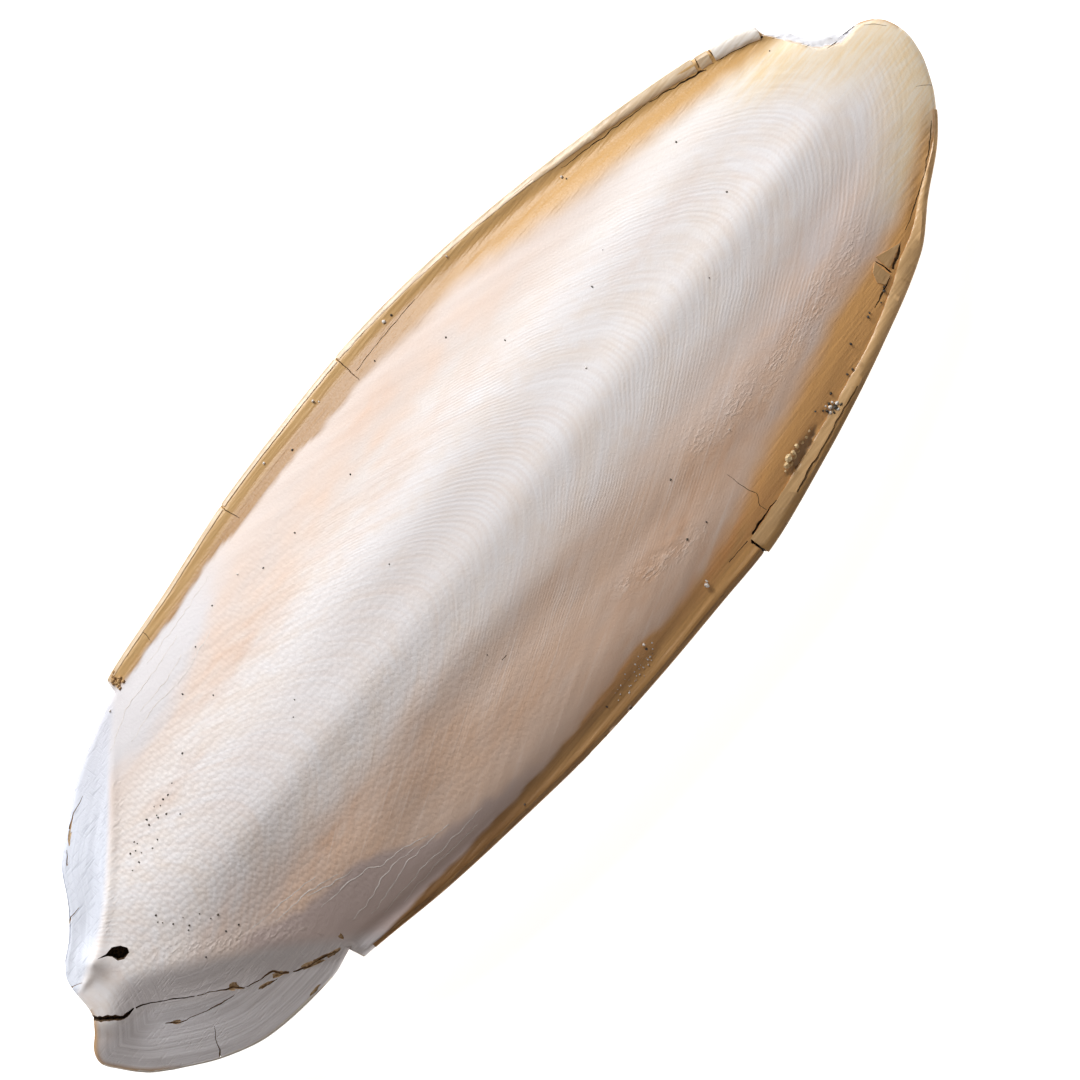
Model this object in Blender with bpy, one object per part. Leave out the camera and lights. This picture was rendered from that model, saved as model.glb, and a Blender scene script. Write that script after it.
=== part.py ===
"""A cuttlebone, the chalky inner shell of a cuttlefish, lying belly down with its back upward.

The bone is one grown piece: a thin domed back plate with horny margins, a thick chalky belly under its
front two thirds, and a hollowed tail with the stump of a spine. The front end points along +X, the back
faces +Z, and the tables below are (x, y) places or (x, height) pairs in millimetres.
"""

import math

import bmesh
import bpy
from mathutils import Vector

MM = 0.001

# Driving dimensions in millimetres, measured from the plane of the margins at the middle of the bone
HALF_LENGTH = 80.0
CROWN = 7.6
BELLY_DEPTH = 10.4
EDGE_THICKNESS = 1.6
WORN_DEPTH = 0.45
ARCH_DROP = 2.2
BELLY_INSET = 2.6
FLOOR = WORN_DEPTH - EDGE_THICKNESS - BELLY_DEPTH
LEAST_EDGE = 0.5

# How full the dome and the belly are across the bone: 2 is a parabola, more is boxier
DOME_POWER = 2.2
BELLY_POWER = 2.8

# Rolled lip of the horny margin and the gutter inside it, as height, distance from the edge and spread
LIP = (0.55, 0.5, 0.8)
GUTTER = (-0.5, 2.6, 1.3)

# Ridge along the middle and the valleys beside it, as height, share of the half width and spread
MIDDLE_RIDGE = (0.35, 0.0, 0.14)
MIDDLE_VALLEY = (-0.35, 0.36, 0.13)

# Facets along and across the bone, and how much closer they stand towards the margins
STEPS_ALONG = 76
STEPS_ACROSS = 26
CROWDING = 0.5

# The margin of the sound bone on each side of the middle line
SOUND_LEFT = (
    (-81, 0), (-79, 5.5), (-75, 10), (-70, 13.2), (-64, 16.8), (-56, 20.6), (-48, 23.3), (-42, 24.9),
    (-30, 26), (-18, 27.3), (-6, 27.75), (8, 27.7), (20, 26.5), (32, 24.4), (44, 21.7), (56, 18.55),
    (64, 15.8), (70, 12.6), (76, 8), (79.5, 3), (80.6, 0),
)
SOUND_RIGHT = (
    (-81, 0), (-79.5, -6.2), (-76, -10.6), (-70, -15.3), (-64, -18), (-56, -20), (-48, -21), (-36, -23.35),
    (-24, -25.1), (-12, -26.55), (0, -27.2), (12, -27.4), (20, -27.5), (28, -26.8), (36, -25.6), (48, -23),
    (60, -19.5), (66, -15.8), (72, -12.45), (76, -9), (79.2, -4.5), (80.6, 0),
)

# Where the margin has broken away and the bare side of the tail is the edge
LEFT_MARGIN_END = -43.0
RIGHT_MARGIN_END = -49.5
BARE_LEFT = ((-72.7, 7.3), (-70, 8.8), (-67, 11.4), (-64, 14.9), (-60, 17.2), (-54, 20.3), (-43, 23.3))
BARE_RIGHT = ((-75, -11.4), (-70, -15.2), (-64, -18), (-54, -19.35), (-49.5, -18.7))

# A chipped stretch of the right lip ends here and the rest stands proud of it
LIP_STEP_PLACE = 19.8
LIP_STEP = 0.45
LIP_STEP_RUN = 14.0
HALF_BREAK = 0.15

# The two ends, as (y, x) pairs from the left corner to the right corner
FRONT_EDGE = (
    (13.0, 68.8), (11.6, 69.0), (9.7, 70.8), (8.2, 71.4), (7.0, 72.1), (5.7, 73.8), (4.5, 75.0), (3.9, 77.2),
    (2.3, 79.2), (-1.2, 80.0), (-4.3, 79.2), (-6.4, 78.0), (-9.0, 76.0), (-12.45, 72.0),
)
REAR_EDGE = (
    (7.3, -72.7), (5.9, -74.2), (4.6, -74.7), (1.7, -75.2), (0.3, -75.8), (-1.0, -77.2), (-2.4, -79.2),
    (-4.1, -80.0), (-6.1, -79.2), (-9.3, -77.2), (-11.4, -75.0),
)

# How the depth of the belly and the height of the dome run along the bone, as shares of their greatest
BELLY_RUN = (
    (-81, 0), (-72, -0.1), (-62, 0.04), (-50, 0.32), (-38, 0.62), (-26, 0.85), (-14, 0.96), (0, 1.0),
    (12, 1.0), (26, 0.965), (38, 0.9), (50, 0.79), (60, 0.64), (70, 0.4), (76, 0.2), (80.6, 0),
)
DOME_PEAK = -18.0
DOME_FRONT = 99.0
DOME_REAR = 63.0

# Creases between the dome and the flanges of the tail, and how far the flanges lie below the dome
LEFT_CREASE = ((-76, 2.5), (-70, 4.8), (-60, 11.3), (-50, 18.3), (-44, 22))
RIGHT_CREASE = ((-76, -1), (-70, 1.2), (-62, -4), (-55, -9.8), (-49, -15.8), (-43, -21.2))
FLANGE_DROP = 0.9
FLANGE_RUN = 3.0
FLANGE_FRONT = -44.0
FLANGE_FADE = 12.0

# Stump of the spine and the hole beside it
SPINE = (-70.6, 3.3)
SPINE_STUMP = (1.3, 0.0, 2.4)
SPINE_HOLE = (-67.3, 2.4)
SPINE_HOLE_RADIUS = 1.05
SPINE_HOLE_DEPTH = 2.2

# The opened crack as (x, y) from the rear edge to the right edge, its widths, and the sunk lobe beyond it
CRACK = (
    (-77.2, 1.2), (-74.8, -1.8), (-73.2, -3.0), (-70.6, -3.9), (-67.6, -6.3), (-62.6, -10.8), (-57.6, -13.6),
    (-53.6, -16.6), (-48.8, -20.2),
)
CRACK_WIDTHS = (1.0, 0.9, 0.5, 0.4, 0.45, 0.5, 0.7, 0.7, 0.7)
CRACK_DEPTH = 0.8
LOBE_DROP = 0.6
LOBE_RUN = 3.5
LOBE_FRONT = -50.0
LOBE_FADE = 8.0

# The scar at the front where a flake of the back plate is gone
SCAR_EDGE = ((67.0, 15.0), (69.0, 11.3), (70.3, 8.4), (71.4, 6.0), (73.9, 4.0), (77.4, 3.5), (80.6, 0.9))
SCAR_DEPTH = 0.9
SCAR_REACH = (6.0, 5.0)
CUTTER_RISE = 2.0


def slope_at(table, index):
    """Slope of the smooth curve at one of its points, from the two beside it."""
    before = table[max(index - 1, 0)]
    after = table[min(index + 1, len(table) - 1)]
    return (after[1] - before[1]) / (after[0] - before[0])


def read_curve(table, place):
    """Height at a place on the smooth curve through a table of pairs whose first values grow or shrink."""
    rows = table if table[0][0] < table[-1][0] else table[::-1]
    place = min(max(place, rows[0][0]), rows[-1][0])
    index = 0
    while index < len(rows) - 2 and rows[index + 1][0] < place:
        index += 1
    start, end = rows[index], rows[index + 1]
    span = end[0] - start[0]
    t = (place - start[0]) / span
    rise = end[1] - start[1]
    first = slope_at(rows, index) * span - rise
    last = rise - slope_at(rows, index + 1) * span
    return start[1] + rise * t + t * (1 - t) * (first * (1 - t) + last * t)


def ease(value):
    """Smooth step from 0 to 1."""
    value = min(max(value, 0.0), 1.0)
    return value * value * (3 - 2 * value)


def mound(shape, place):
    """Height of a rounded ridge, or of a valley where its height is below nothing, at a place across it."""
    height, middle, spread = shape
    return height * math.exp(-(((place - middle) / spread) ** 2))


def mix(a, b, share):
    return a + (b - a) * share


def left_edge(x):
    return read_curve(BARE_LEFT if x < LEFT_MARGIN_END else SOUND_LEFT, x)


def right_edge(x):
    if x < RIGHT_MARGIN_END:
        return read_curve(BARE_RIGHT, x)
    past = x - LIP_STEP_PLACE
    proud = LIP_STEP * (1 - ease(past / LIP_STEP_RUN)) if past > 0 else 0.0
    return read_curve(SOUND_RIGHT, x) - proud


def sound_edge(x, y):
    """Distance from the middle line to the sound margin, kept above nothing at the two tips."""
    return max(abs(read_curve(SOUND_LEFT if y > 0 else SOUND_RIGHT, x)), LEAST_EDGE)


def rim_height(x):
    """The margin arches gently: both ends lie lower than the middle."""
    return -ARCH_DROP * (x / HALF_LENGTH) ** 2


def dome_height(x):
    reach = DOME_FRONT if x > DOME_PEAK else DOME_REAR
    return CROWN * max(1 - abs((x - DOME_PEAK) / reach) ** 2.2, 0) ** 0.8


def margin_relief(x, y):
    """Rolled lip along the edge with a gutter inside it, where the horny margin is still there."""
    edge = left_edge(x) if y > 0 else -right_edge(x)
    inside = edge - abs(y)
    rear = LEFT_MARGIN_END if y > 0 else RIGHT_MARGIN_END
    present = ease((x - rear) / 1.5) * ease((76 - x) / 8)
    return present * (mound(LIP, inside) + mound(GUTTER, inside))


def middle_relief(x, share):
    """Low ridge along the middle between two shallow valleys, fading towards both ends."""
    strength = ease((x + 62) / 20) * ease((74 - x) / 20)
    return strength * (mound(MIDDLE_RIDGE, share) + mound(MIDDLE_VALLEY, share))


def tail_relief(x, y):
    """Flanges lie lower than the dome beyond the creases, and the broken lobe lower still."""
    past_crease = max(y - read_curve(LEFT_CREASE, x), read_curve(RIGHT_CREASE, x) - y)
    drop = FLANGE_DROP * ease(past_crease / FLANGE_RUN) * ease((FLANGE_FRONT - x) / FLANGE_FADE)
    past_crack = read_curve(CRACK, x) - y
    drop += LOBE_DROP * ease(past_crack / LOBE_RUN) * ease((LOBE_FRONT - x) / LOBE_FADE)
    return mound(SPINE_STUMP, math.dist((x, y), SPINE)) - drop


def back_height(x, y):
    """Height of the back over the plane of the margins."""
    share = min(abs(y) / sound_edge(x, y), 1.0)
    height = rim_height(x) + dome_height(x) * (1 - share**DOME_POWER)
    return height + margin_relief(x, y) + middle_relief(x, share) + tail_relief(x, y)


def belly_height(x, y):
    """Height of the belly: a broad bulge that stops short of the margin and is worn flat underneath."""
    reach = max(sound_edge(x, y) - BELLY_INSET, 1.0)
    share = min(abs(y) / reach, 1.0)
    bulge = BELLY_DEPTH * read_curve(BELLY_RUN, x) * (1 - share**BELLY_POWER)
    height = rim_height(x) - EDGE_THICKNESS - bulge
    return max(height, FLOOR)


def snapped(x, places):
    """Moves a station that lies near a break onto the nearer side of the break."""
    for place in places:
        if abs(x - place) < 1.0:
            return place + math.copysign(HALF_BREAK, x - place)
    return x


def place_on_bone(along, across):
    """Turns shares from 0 to 1 along the bone and across it, left to right, into x and y in millimetres."""
    left_x = mix(REAR_EDGE[0][1], FRONT_EDGE[0][1], along)
    right_x = mix(REAR_EDGE[-1][1], FRONT_EDGE[-1][1], along)
    left_x = snapped(left_x, (LEFT_MARGIN_END,))
    right_x = snapped(right_x, (RIGHT_MARGIN_END, LIP_STEP_PLACE))
    x = mix(left_x, right_x, across)
    y = mix(left_edge(left_x), right_edge(right_x), across)
    for edge, strength in ((FRONT_EDGE, along**4), (REAR_EDGE, (1 - along) ** 4)):
        edge_y = mix(edge[0][0], edge[-1][0], across)
        bulge = read_curve(edge, edge_y) - mix(edge[0][1], edge[-1][1], across)
        x += bulge * strength
    return x, y


def crowded(share):
    """Spaces shares of 0 to 1 more closely towards both ends."""
    return share - CROWDING * math.sin(2 * math.pi * share) / (2 * math.pi)


def make_material(name, colour, roughness):
    material = bpy.data.materials.new(name)
    material.use_nodes = True
    shader = material.node_tree.nodes["Principled BSDF"]
    shader.inputs["Base Color"].default_value = (*colour, 1)
    shader.inputs["Roughness"].default_value = roughness
    shader.inputs["Metallic"].default_value = 0.0
    return material


def add_object(name, bm):
    """Finishes a mesh that was shaped in millimetres, with the floor that the belly rests on at height 0."""
    bmesh.ops.translate(bm, verts=list(bm.verts), vec=(0, 0, -FLOOR))
    bmesh.ops.scale(bm, verts=list(bm.verts), vec=(MM, MM, MM))
    mesh = bpy.data.meshes.new(name)
    bm.to_mesh(mesh)
    bm.free()
    thing = bpy.data.objects.new(name, mesh)
    bpy.context.scene.collection.objects.link(thing)
    return thing


def make_bone():
    bm = bmesh.new()
    bmesh.ops.create_grid(bm, x_segments=STEPS_ALONG, y_segments=STEPS_ACROSS, size=0.5)
    for vert in bm.verts:
        x, y = place_on_bone(vert.co.x + 0.5, crowded(0.5 - vert.co.y))
        vert.co = Vector((x, y, back_height(x, y)))
    under = bmesh.ops.extrude_face_region(bm, geom=list(bm.faces), use_keep_orig=True)["geom"]
    for vert in (item for item in under if isinstance(item, bmesh.types.BMVert)):
        vert.co.z = belly_height(vert.co.x, vert.co.y)
    bmesh.ops.recalc_face_normals(bm, faces=list(bm.faces))
    return add_object("cuttlebone", bm)


def sweep(name, rings):
    """A closed cutter skinned through rings that have the same number of corners."""
    bm = bmesh.new()
    bmesh.ops.create_circle(bm, cap_ends=True, segments=len(rings[0]), radius=1)
    end = next(iter(bm.faces))
    for step, ring in enumerate(rings):
        if step:
            grown = bmesh.ops.extrude_face_region(bm, geom=[end])["geom"]
            if step > 1:
                bmesh.ops.delete(bm, geom=[end], context="FACES_ONLY")
            end = next(item for item in grown if isinstance(item, bmesh.types.BMFace))
        for vert, corner in zip(end.verts, ring):
            vert.co = Vector(corner)
    bmesh.ops.recalc_face_normals(bm, faces=list(bm.faces))
    return add_object(name, bm)


def crack_cutter():
    """A wedge, point down, that follows the crack over the back."""
    sideways = (Vector(CRACK[-1]) - Vector(CRACK[0])).orthogonal().normalized()
    slant = 1 + CUTTER_RISE / CRACK_DEPTH
    rings = []
    for (x, y), width in zip(CRACK, CRACK_WIDTHS):
        level = back_height(x, y)
        side = sideways * width / 2 * slant
        left = (x + side.x, y + side.y, level + CUTTER_RISE)
        right = (x - side.x, y - side.y, level + CUTTER_RISE)
        rings.append((left, right, (x, y, level - CRACK_DEPTH)))
    return sweep("crack_cutter", rings)


def scar_cutter():
    """A slab whose inner wall is the broken edge of the back plate."""
    rings = []
    for x, y in SCAR_EDGE:
        level = back_height(x, y)
        out_x, out_y = x + SCAR_REACH[0], y + SCAR_REACH[1]
        top, floor = level + CUTTER_RISE, level - SCAR_DEPTH
        rings.append(((x, y, top), (out_x, out_y, top), (out_x, out_y, floor), (x, y, floor)))
    return sweep("scar_cutter", rings)


def hole_cutter():
    """A tapered plug for the blind hole at the foot of the spine."""
    bm = bmesh.new()
    x, y = SPINE_HOLE
    height = SPINE_HOLE_DEPTH + CUTTER_RISE
    bmesh.ops.create_cone(
        bm, cap_ends=True, segments=10, radius1=SPINE_HOLE_RADIUS * 0.5, radius2=SPINE_HOLE_RADIUS * 1.4,
        depth=height,
    )
    middle = back_height(x, y) - SPINE_HOLE_DEPTH + height / 2
    bmesh.ops.translate(bm, verts=list(bm.verts), vec=(x, y, middle))
    return add_object("spine_hole_cutter", bm)


def cut(bone, cutter):
    cutter.hide_render = True
    cutter.display_type = "WIRE"
    modifier = bone.modifiers.new(cutter.name, "BOOLEAN")
    modifier.operation = "DIFFERENCE"
    modifier.object = cutter


def main():
    for thing in list(bpy.data.objects):
        bpy.data.objects.remove(thing)
    bone = make_bone()
    bone.data.shade_smooth()
    bone.data.materials.append(make_material("chalky_shell", (0.86, 0.84, 0.79), 0.7))
    for cutter in (crack_cutter(), scar_cutter(), hole_cutter()):
        cut(bone, cutter)


main()
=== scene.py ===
import math
import random

import bmesh
import bpy
import numpy as np
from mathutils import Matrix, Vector, noise
from mathutils.kdtree import KDTree


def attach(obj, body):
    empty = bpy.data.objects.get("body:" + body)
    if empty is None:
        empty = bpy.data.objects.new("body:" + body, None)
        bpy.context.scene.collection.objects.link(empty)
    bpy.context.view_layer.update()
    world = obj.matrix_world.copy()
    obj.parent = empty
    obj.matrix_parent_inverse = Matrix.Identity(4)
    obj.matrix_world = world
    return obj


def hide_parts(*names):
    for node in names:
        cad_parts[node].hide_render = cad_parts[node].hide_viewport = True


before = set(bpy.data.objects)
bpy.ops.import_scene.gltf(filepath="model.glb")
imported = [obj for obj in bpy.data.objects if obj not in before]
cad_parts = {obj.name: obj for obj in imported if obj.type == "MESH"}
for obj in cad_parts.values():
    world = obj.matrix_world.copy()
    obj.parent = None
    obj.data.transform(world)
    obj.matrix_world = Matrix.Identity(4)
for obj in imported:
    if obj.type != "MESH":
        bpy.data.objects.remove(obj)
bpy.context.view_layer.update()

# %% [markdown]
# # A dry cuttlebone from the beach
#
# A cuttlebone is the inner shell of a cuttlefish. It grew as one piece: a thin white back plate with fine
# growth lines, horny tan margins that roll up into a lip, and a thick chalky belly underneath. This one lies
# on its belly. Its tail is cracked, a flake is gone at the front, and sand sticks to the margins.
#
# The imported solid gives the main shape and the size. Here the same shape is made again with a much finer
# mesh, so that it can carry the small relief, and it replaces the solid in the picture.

# %% [markdown]
# ## The measured curves
#
# Half of an outline like this is best kept as a short table of places and a smooth curve through them. All
# lengths are in millimetres: x runs from the tail to the front, y to the bone's left margin, and z up from
# the plane of the margins. The tables are the ones that the solid was built from.

# %% Main dimensions
MM = 0.001
HALF_LENGTH = 80.0
CROWN = 7.6
BELLY_DEPTH = 10.4
EDGE_THICKNESS = 1.6
WORN_DEPTH = 0.45
ARCH_DROP = 2.2
BELLY_INSET = 2.6
FLOOR = WORN_DEPTH - EDGE_THICKNESS - BELLY_DEPTH
LEAST_EDGE = 0.5

# %% Margins, ends and belly as tables
SOUND_LEFT = (
    (-81, 0), (-79, 5.5), (-75, 10), (-70, 13.2), (-64, 16.8), (-56, 20.6), (-48, 23.3), (-42, 24.9),
    (-30, 26), (-18, 27.3), (-6, 27.75), (8, 27.7), (20, 26.5), (32, 24.4), (44, 21.7), (56, 18.55),
    (64, 15.8), (70, 12.6), (76, 8), (79.5, 3), (80.6, 0),
)
SOUND_RIGHT = (
    (-81, 0), (-79.5, -6.2), (-76, -10.6), (-70, -15.3), (-64, -18), (-56, -20), (-48, -21), (-36, -23.35),
    (-24, -25.1), (-12, -26.55), (0, -27.2), (12, -27.4), (20, -27.5), (28, -26.8), (36, -25.6), (48, -23),
    (60, -19.5), (66, -15.8), (72, -12.45), (76, -9), (79.2, -4.5), (80.6, 0),
)
LEFT_MARGIN_END = -43.0
RIGHT_MARGIN_END = -49.5
BARE_LEFT = ((-72.7, 7.3), (-70, 8.8), (-67, 11.4), (-64, 14.9), (-60, 17.2), (-54, 20.3), (-43, 23.3))
BARE_RIGHT = ((-75, -11.4), (-70, -15.2), (-64, -18), (-54, -19.35), (-49.5, -18.7))
LIP_STEP_PLACE = 19.8
LIP_STEP = 0.45
LIP_STEP_RUN = 14.0
FRONT_EDGE = (
    (13.0, 68.8), (11.6, 69.0), (9.7, 70.8), (8.2, 71.4), (7.0, 72.1), (5.7, 73.8), (4.5, 75.0), (3.9, 77.2),
    (2.3, 79.2), (-1.2, 80.0), (-4.3, 79.2), (-6.4, 78.0), (-9.0, 76.0), (-12.45, 72.0),
)
REAR_EDGE = (
    (7.3, -72.7), (5.9, -74.2), (4.6, -74.7), (1.7, -75.2), (0.3, -75.8), (-1.0, -77.2), (-2.4, -79.2),
    (-4.1, -80.0), (-6.1, -79.2), (-9.3, -77.2), (-11.4, -75.0),
)
BELLY_RUN = (
    (-81, 0), (-72, -0.1), (-62, 0.04), (-50, 0.32), (-38, 0.62), (-26, 0.85), (-14, 0.96), (0, 1.0),
    (12, 1.0), (26, 0.965), (38, 0.9), (50, 0.79), (60, 0.64), (70, 0.4), (76, 0.2), (80.6, 0),
)


# %% A smooth curve through a table, for many places at once
def curve(table, place):
    rows = np.array(sorted(table), float)
    at, height = rows[:, 0], rows[:, 1]
    before = np.maximum(np.arange(len(at)) - 1, 0)
    after = np.minimum(np.arange(len(at)) + 1, len(at) - 1)
    slope = (height[after] - height[before]) / (at[after] - at[before])
    place = np.clip(place, at[0], at[-1])
    index = np.clip(np.searchsorted(at, place) - 1, 0, len(at) - 2)
    gap = at[index + 1] - at[index]
    t = (place - at[index]) / gap
    rise = height[index + 1] - height[index]
    first = slope[index] * gap - rise
    last = rise - slope[index + 1] * gap
    return height[index] + rise * t + t * (1 - t) * (first * (1 - t) + last * t)


def ease(value):
    value = np.clip(value, 0.0, 1.0)
    return value * value * (3 - 2 * value)


def mound(shape, place):
    height, middle, spread = shape
    return height * np.exp(-(((place - middle) / spread) ** 2))


def mix(a, b, share):
    return a + (b - a) * share


def span(place, start, rise, stop, fall):
    """1 well between start and stop and 0 outside them, with a soft rise and fall of the given lengths."""
    return ease((place - start) / rise) * ease((stop - place) / fall)


# %% The two margins, with the torn tail and the chipped lip
def left_edge(x):
    return np.where(x < LEFT_MARGIN_END, curve(BARE_LEFT, x), curve(SOUND_LEFT, x))


def right_edge(x):
    past = x - LIP_STEP_PLACE
    proud = np.where(past > 0, LIP_STEP * (1 - ease(past / LIP_STEP_RUN)), 0.0)
    return np.where(x < RIGHT_MARGIN_END, curve(BARE_RIGHT, x), curve(SOUND_RIGHT, x) - proud)


def sound_edge(x, y):
    edge = np.where(y > 0, curve(SOUND_LEFT, x), -curve(SOUND_RIGHT, x))
    return np.maximum(edge, LEAST_EDGE)


def sideways(x, y):
    """0 on the middle line, 1 at the sound margin and beyond it."""
    return np.minimum(np.abs(y) / sound_edge(x, y), 1.0)


print("widest at x = 0, millimetres:", round(float(left_edge(np.array(0.0)) - right_edge(np.array(0.0))), 2))

# %% [markdown]
# ## The shape of the back
#
# The back is a low dome over the margins. Three kinds of form lie on it: the rolled lip and its gutter along
# the margin, a low ridge along the middle, and the flanges of the tail, which drop away beyond two creases
# that start at the spine. Each is one small formula, so each can be changed without touching the others.

# %% Forms of the back as numbers
DOME_POWER = 2.2
DOME_PEAK = -18.0
DOME_FRONT = 99.0
DOME_REAR = 63.0
DOME_RUN_POWER = 2.2
DOME_FULLNESS = 0.8
LIP = (0.55, 0.5, 0.8)
GUTTER = (-0.5, 2.6, 1.3)
MIDDLE_RIDGE = (0.35, 0.0, 0.14)
MIDDLE_VALLEY = (-0.35, 0.36, 0.13)
MIDDLE_SPAN = (-62, 20, 74, 20)
LEFT_VALLEY_SHARE = 0.25
LEFT_CREASE = ((-76, 2.5), (-70.3, 4.3), (-65.6, 6.3), (-60.2, 9.8), (-54.7, 13.9), (-50, 17.8), (-44, 22))
RIGHT_CREASE = ((-76, -1), (-70, 1.2), (-62, -4), (-55, -9.8), (-49, -15.8), (-43, -21.2))
FLANGE_DROP = 0.9
FLANGE_RUN = (3.0, 6.5)
FLANGE_FRONT = -44.0
FLANGE_FADE = 12.0
CREASE_RIDGE = (0.22, 0.0, 0.8)
CREASE_SPAN = (-71, 3, -45, 6)
SPINE = (-70.3, 4.4)
SPINE_STUMP = (0.8, 0.0, 1.9)
SPINE_TIP = 0.6
SPINE_TIP_RUN = 0.8
GLASSY_RIDGE = (0.25, 0.0, 0.5)
REAR_GUTTER_SHARE = 0.15
CRACK = (
    (-77.2, 1.2), (-74.8, -1.8), (-73.2, -3.0), (-70.6, -3.9), (-67.6, -6.3), (-62.6, -10.8), (-57.6, -13.6),
    (-53.6, -16.6), (-48.8, -20.2),
)
CREST = (0.16, -0.3, 2.6)
CREST_SPAN = (-58, 20, 74, 20)
REAR_CREST = (0.4, 2.5, 6.0)
REAR_CREST_SPAN = (-67, 10, -12, 18)
LEFT_SHOULDER = (0.28, 9.0, 4.0)
LEFT_SHOULDER_SPAN = (-34, 20, 66, 20)
TAIL_FALL = 0.55
TAIL_FALL_SPAN = (-66, 13, -38, 10)
SHOULDER = ((-45, -7.5), (-30, -7.8), (-22, -6.2), (-14, -5.6), (-6, -6.3), (4, -7.8), (20, -9.5), (35, -12))
SHOULDER_DROP = 0.7
SHOULDER_RUN = 7.0
SHOULDER_SPAN = (-42, 14, 40, 30)
LOBE_DROP = 0.6
LOBE_RUN = 3.5
LOBE_FRONT = -50.0
LOBE_FADE = 8.0


# %% Height of the back
def rim_height(x):
    return -ARCH_DROP * (x / HALF_LENGTH) ** 2


def dome_height(x):
    reach = np.where(x > DOME_PEAK, DOME_FRONT, DOME_REAR)
    return CROWN * np.maximum(1 - np.abs((x - DOME_PEAK) / reach) ** DOME_RUN_POWER, 0) ** DOME_FULLNESS


def margin_relief(x, y):
    """The lip and its gutter; the gutter is shallow on the rear left and fades out on the front right."""
    inside = np.where(y > 0, left_edge(x), -right_edge(x)) - np.abs(y)
    rear = np.where(y > 0, LEFT_MARGIN_END, RIGHT_MARGIN_END)
    on_left = mix(REAR_GUTTER_SHARE, 1.0, ease((x - 4) / 32))
    on_right = (1 - 0.4 * ease((x - 2) / 12)) * (1 - ease((x - 32) / 20))
    hollow = np.where(y > 0, on_left, on_right)
    return span(x, rear, 1.5, 76, 8) * (mound(LIP, inside) + hollow * mound(GUTTER, inside))


def middle_relief(x, y, share):
    valley = np.where(y > 0, LEFT_VALLEY_SHARE, 1.0) * mound(MIDDLE_VALLEY, share)
    return span(x, *MIDDLE_SPAN) * (mound(MIDDLE_RIDGE, share) + valley)


def past_crease(x, y):
    """Distance beyond either crease of the tail, measured across the bone."""
    return np.maximum(y - curve(LEFT_CREASE, x), curve(RIGHT_CREASE, x) - y)


# %% Tail, shoulder and crests, and the whole height
def tail_relief(x, y):
    run = np.where(y > curve(RIGHT_CREASE, x), FLANGE_RUN[0], FLANGE_RUN[1])
    drop = FLANGE_DROP * ease(past_crease(x, y) / run) * ease((FLANGE_FRONT - x) / FLANGE_FADE)
    drop += LOBE_DROP * ease((curve(CRACK, x) - y) / LOBE_RUN) * ease((LOBE_FRONT - x) / LOBE_FADE)
    ridge = mound(CREASE_RIDGE, y - curve(LEFT_CREASE, x)) * span(x, *CREASE_SPAN)
    from_spine = np.hypot(x - SPINE[0], y - SPINE[1])
    stump = mound(SPINE_STUMP, from_spine) + SPINE_TIP * np.exp(-from_spine / SPINE_TIP_RUN)
    glassy = mound(GLASSY_RIDGE, np.hypot((x + 72.9) / 2.4, y - 3.6))
    return stump + glassy + ridge - drop


def shoulder_relief(x, y):
    """The right side falls away below a soft shoulder."""
    below = ease((curve(SHOULDER, x) - y) / SHOULDER_RUN)
    return -SHOULDER_DROP * span(x, *SHOULDER_SPAN) * below * ease((y + 22) / 8)


def crest_relief(x, y):
    """The crest of the middle line, a broader one behind it, the left shoulder and the fall of the tail."""
    whole = mound(CREST, y) * span(x, *CREST_SPAN)
    rear = mound(REAR_CREST, y) * span(x, *REAR_CREST_SPAN)
    shoulder = mound(LEFT_SHOULDER, y) * span(x, *LEFT_SHOULDER_SPAN)
    fall = TAIL_FALL * ease((4 - y) / 11) * span(x, *TAIL_FALL_SPAN)
    return whole + rear + shoulder - fall


def main_height(x, y):
    share = sideways(x, y)
    height = rim_height(x) + dome_height(x) * (1 - share**DOME_POWER) + shoulder_relief(x, y)
    height = height + crest_relief(x, y)
    return height + margin_relief(x, y) + middle_relief(x, y, share) + tail_relief(x, y)


# %% [markdown]
# ## Small relief
#
# A cuttlebone grows at its front edge, line by line, so the growth lines are nested arcs that point forwards
# and run almost lengthwise beside the margins. If every place knows which line it lies on, the ripples are
# one sine wave. Behind the middle the lines break up into granules, which a noise pattern gives.

# %% Which growth line runs through a place
LINE_APEX = 1.5
LINE_SPREAD = 3.2
LINE_BEND_REAR = 0.15
LINE_BEND_FRONT = 0.06


def growth_line(x, y):
    """Place on the middle line where the growth line through (x, y) crosses it."""
    side = LINE_SPREAD * (y - LINE_APEX)
    apex = x
    for _ in range(3):
        bend = mix(LINE_BEND_REAR, LINE_BEND_FRONT, ease((apex - 40) / 45))
        flat = LINE_SPREAD**2 / (2 * bend)
        apex = x + np.sqrt(flat**2 + side**2) - flat
    return apex


# %% Noise for many places at once
def rough(x, y, size_x, size_y, seed):
    """Smooth noise between about -1 and 1 whose lumps have the given sizes."""
    places = zip((x / size_x).tolist(), (y / size_y).tolist())
    return np.array([noise.noise((a, b, seed)) for a, b in places])


# %% Where the flake of the back plate is gone, and the pit in the right margin
SCAR_EDGE = ((67.0, 15.0), (69.0, 11.3), (70.3, 8.4), (71.4, 6.0), (73.9, 4.0), (77.4, 3.5), (80.6, 0.9))
SCAR_DEPTH = 0.75
SCAR_WALL = 0.45
SCAR_START = 68.6
PIT = (32.0, -23.3, 3.2, 0.75)
PIT_DEPTH = 0.35


def scar_share(x, y):
    """1 on the broken chalk of the front scar, 0 on the sound back."""
    jag = 0.25 * rough(x, y, 0.9, 0.9, 3.0)
    return ease((y - curve(SCAR_EDGE, x) + jag) / SCAR_WALL) * (x > SCAR_START)


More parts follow.
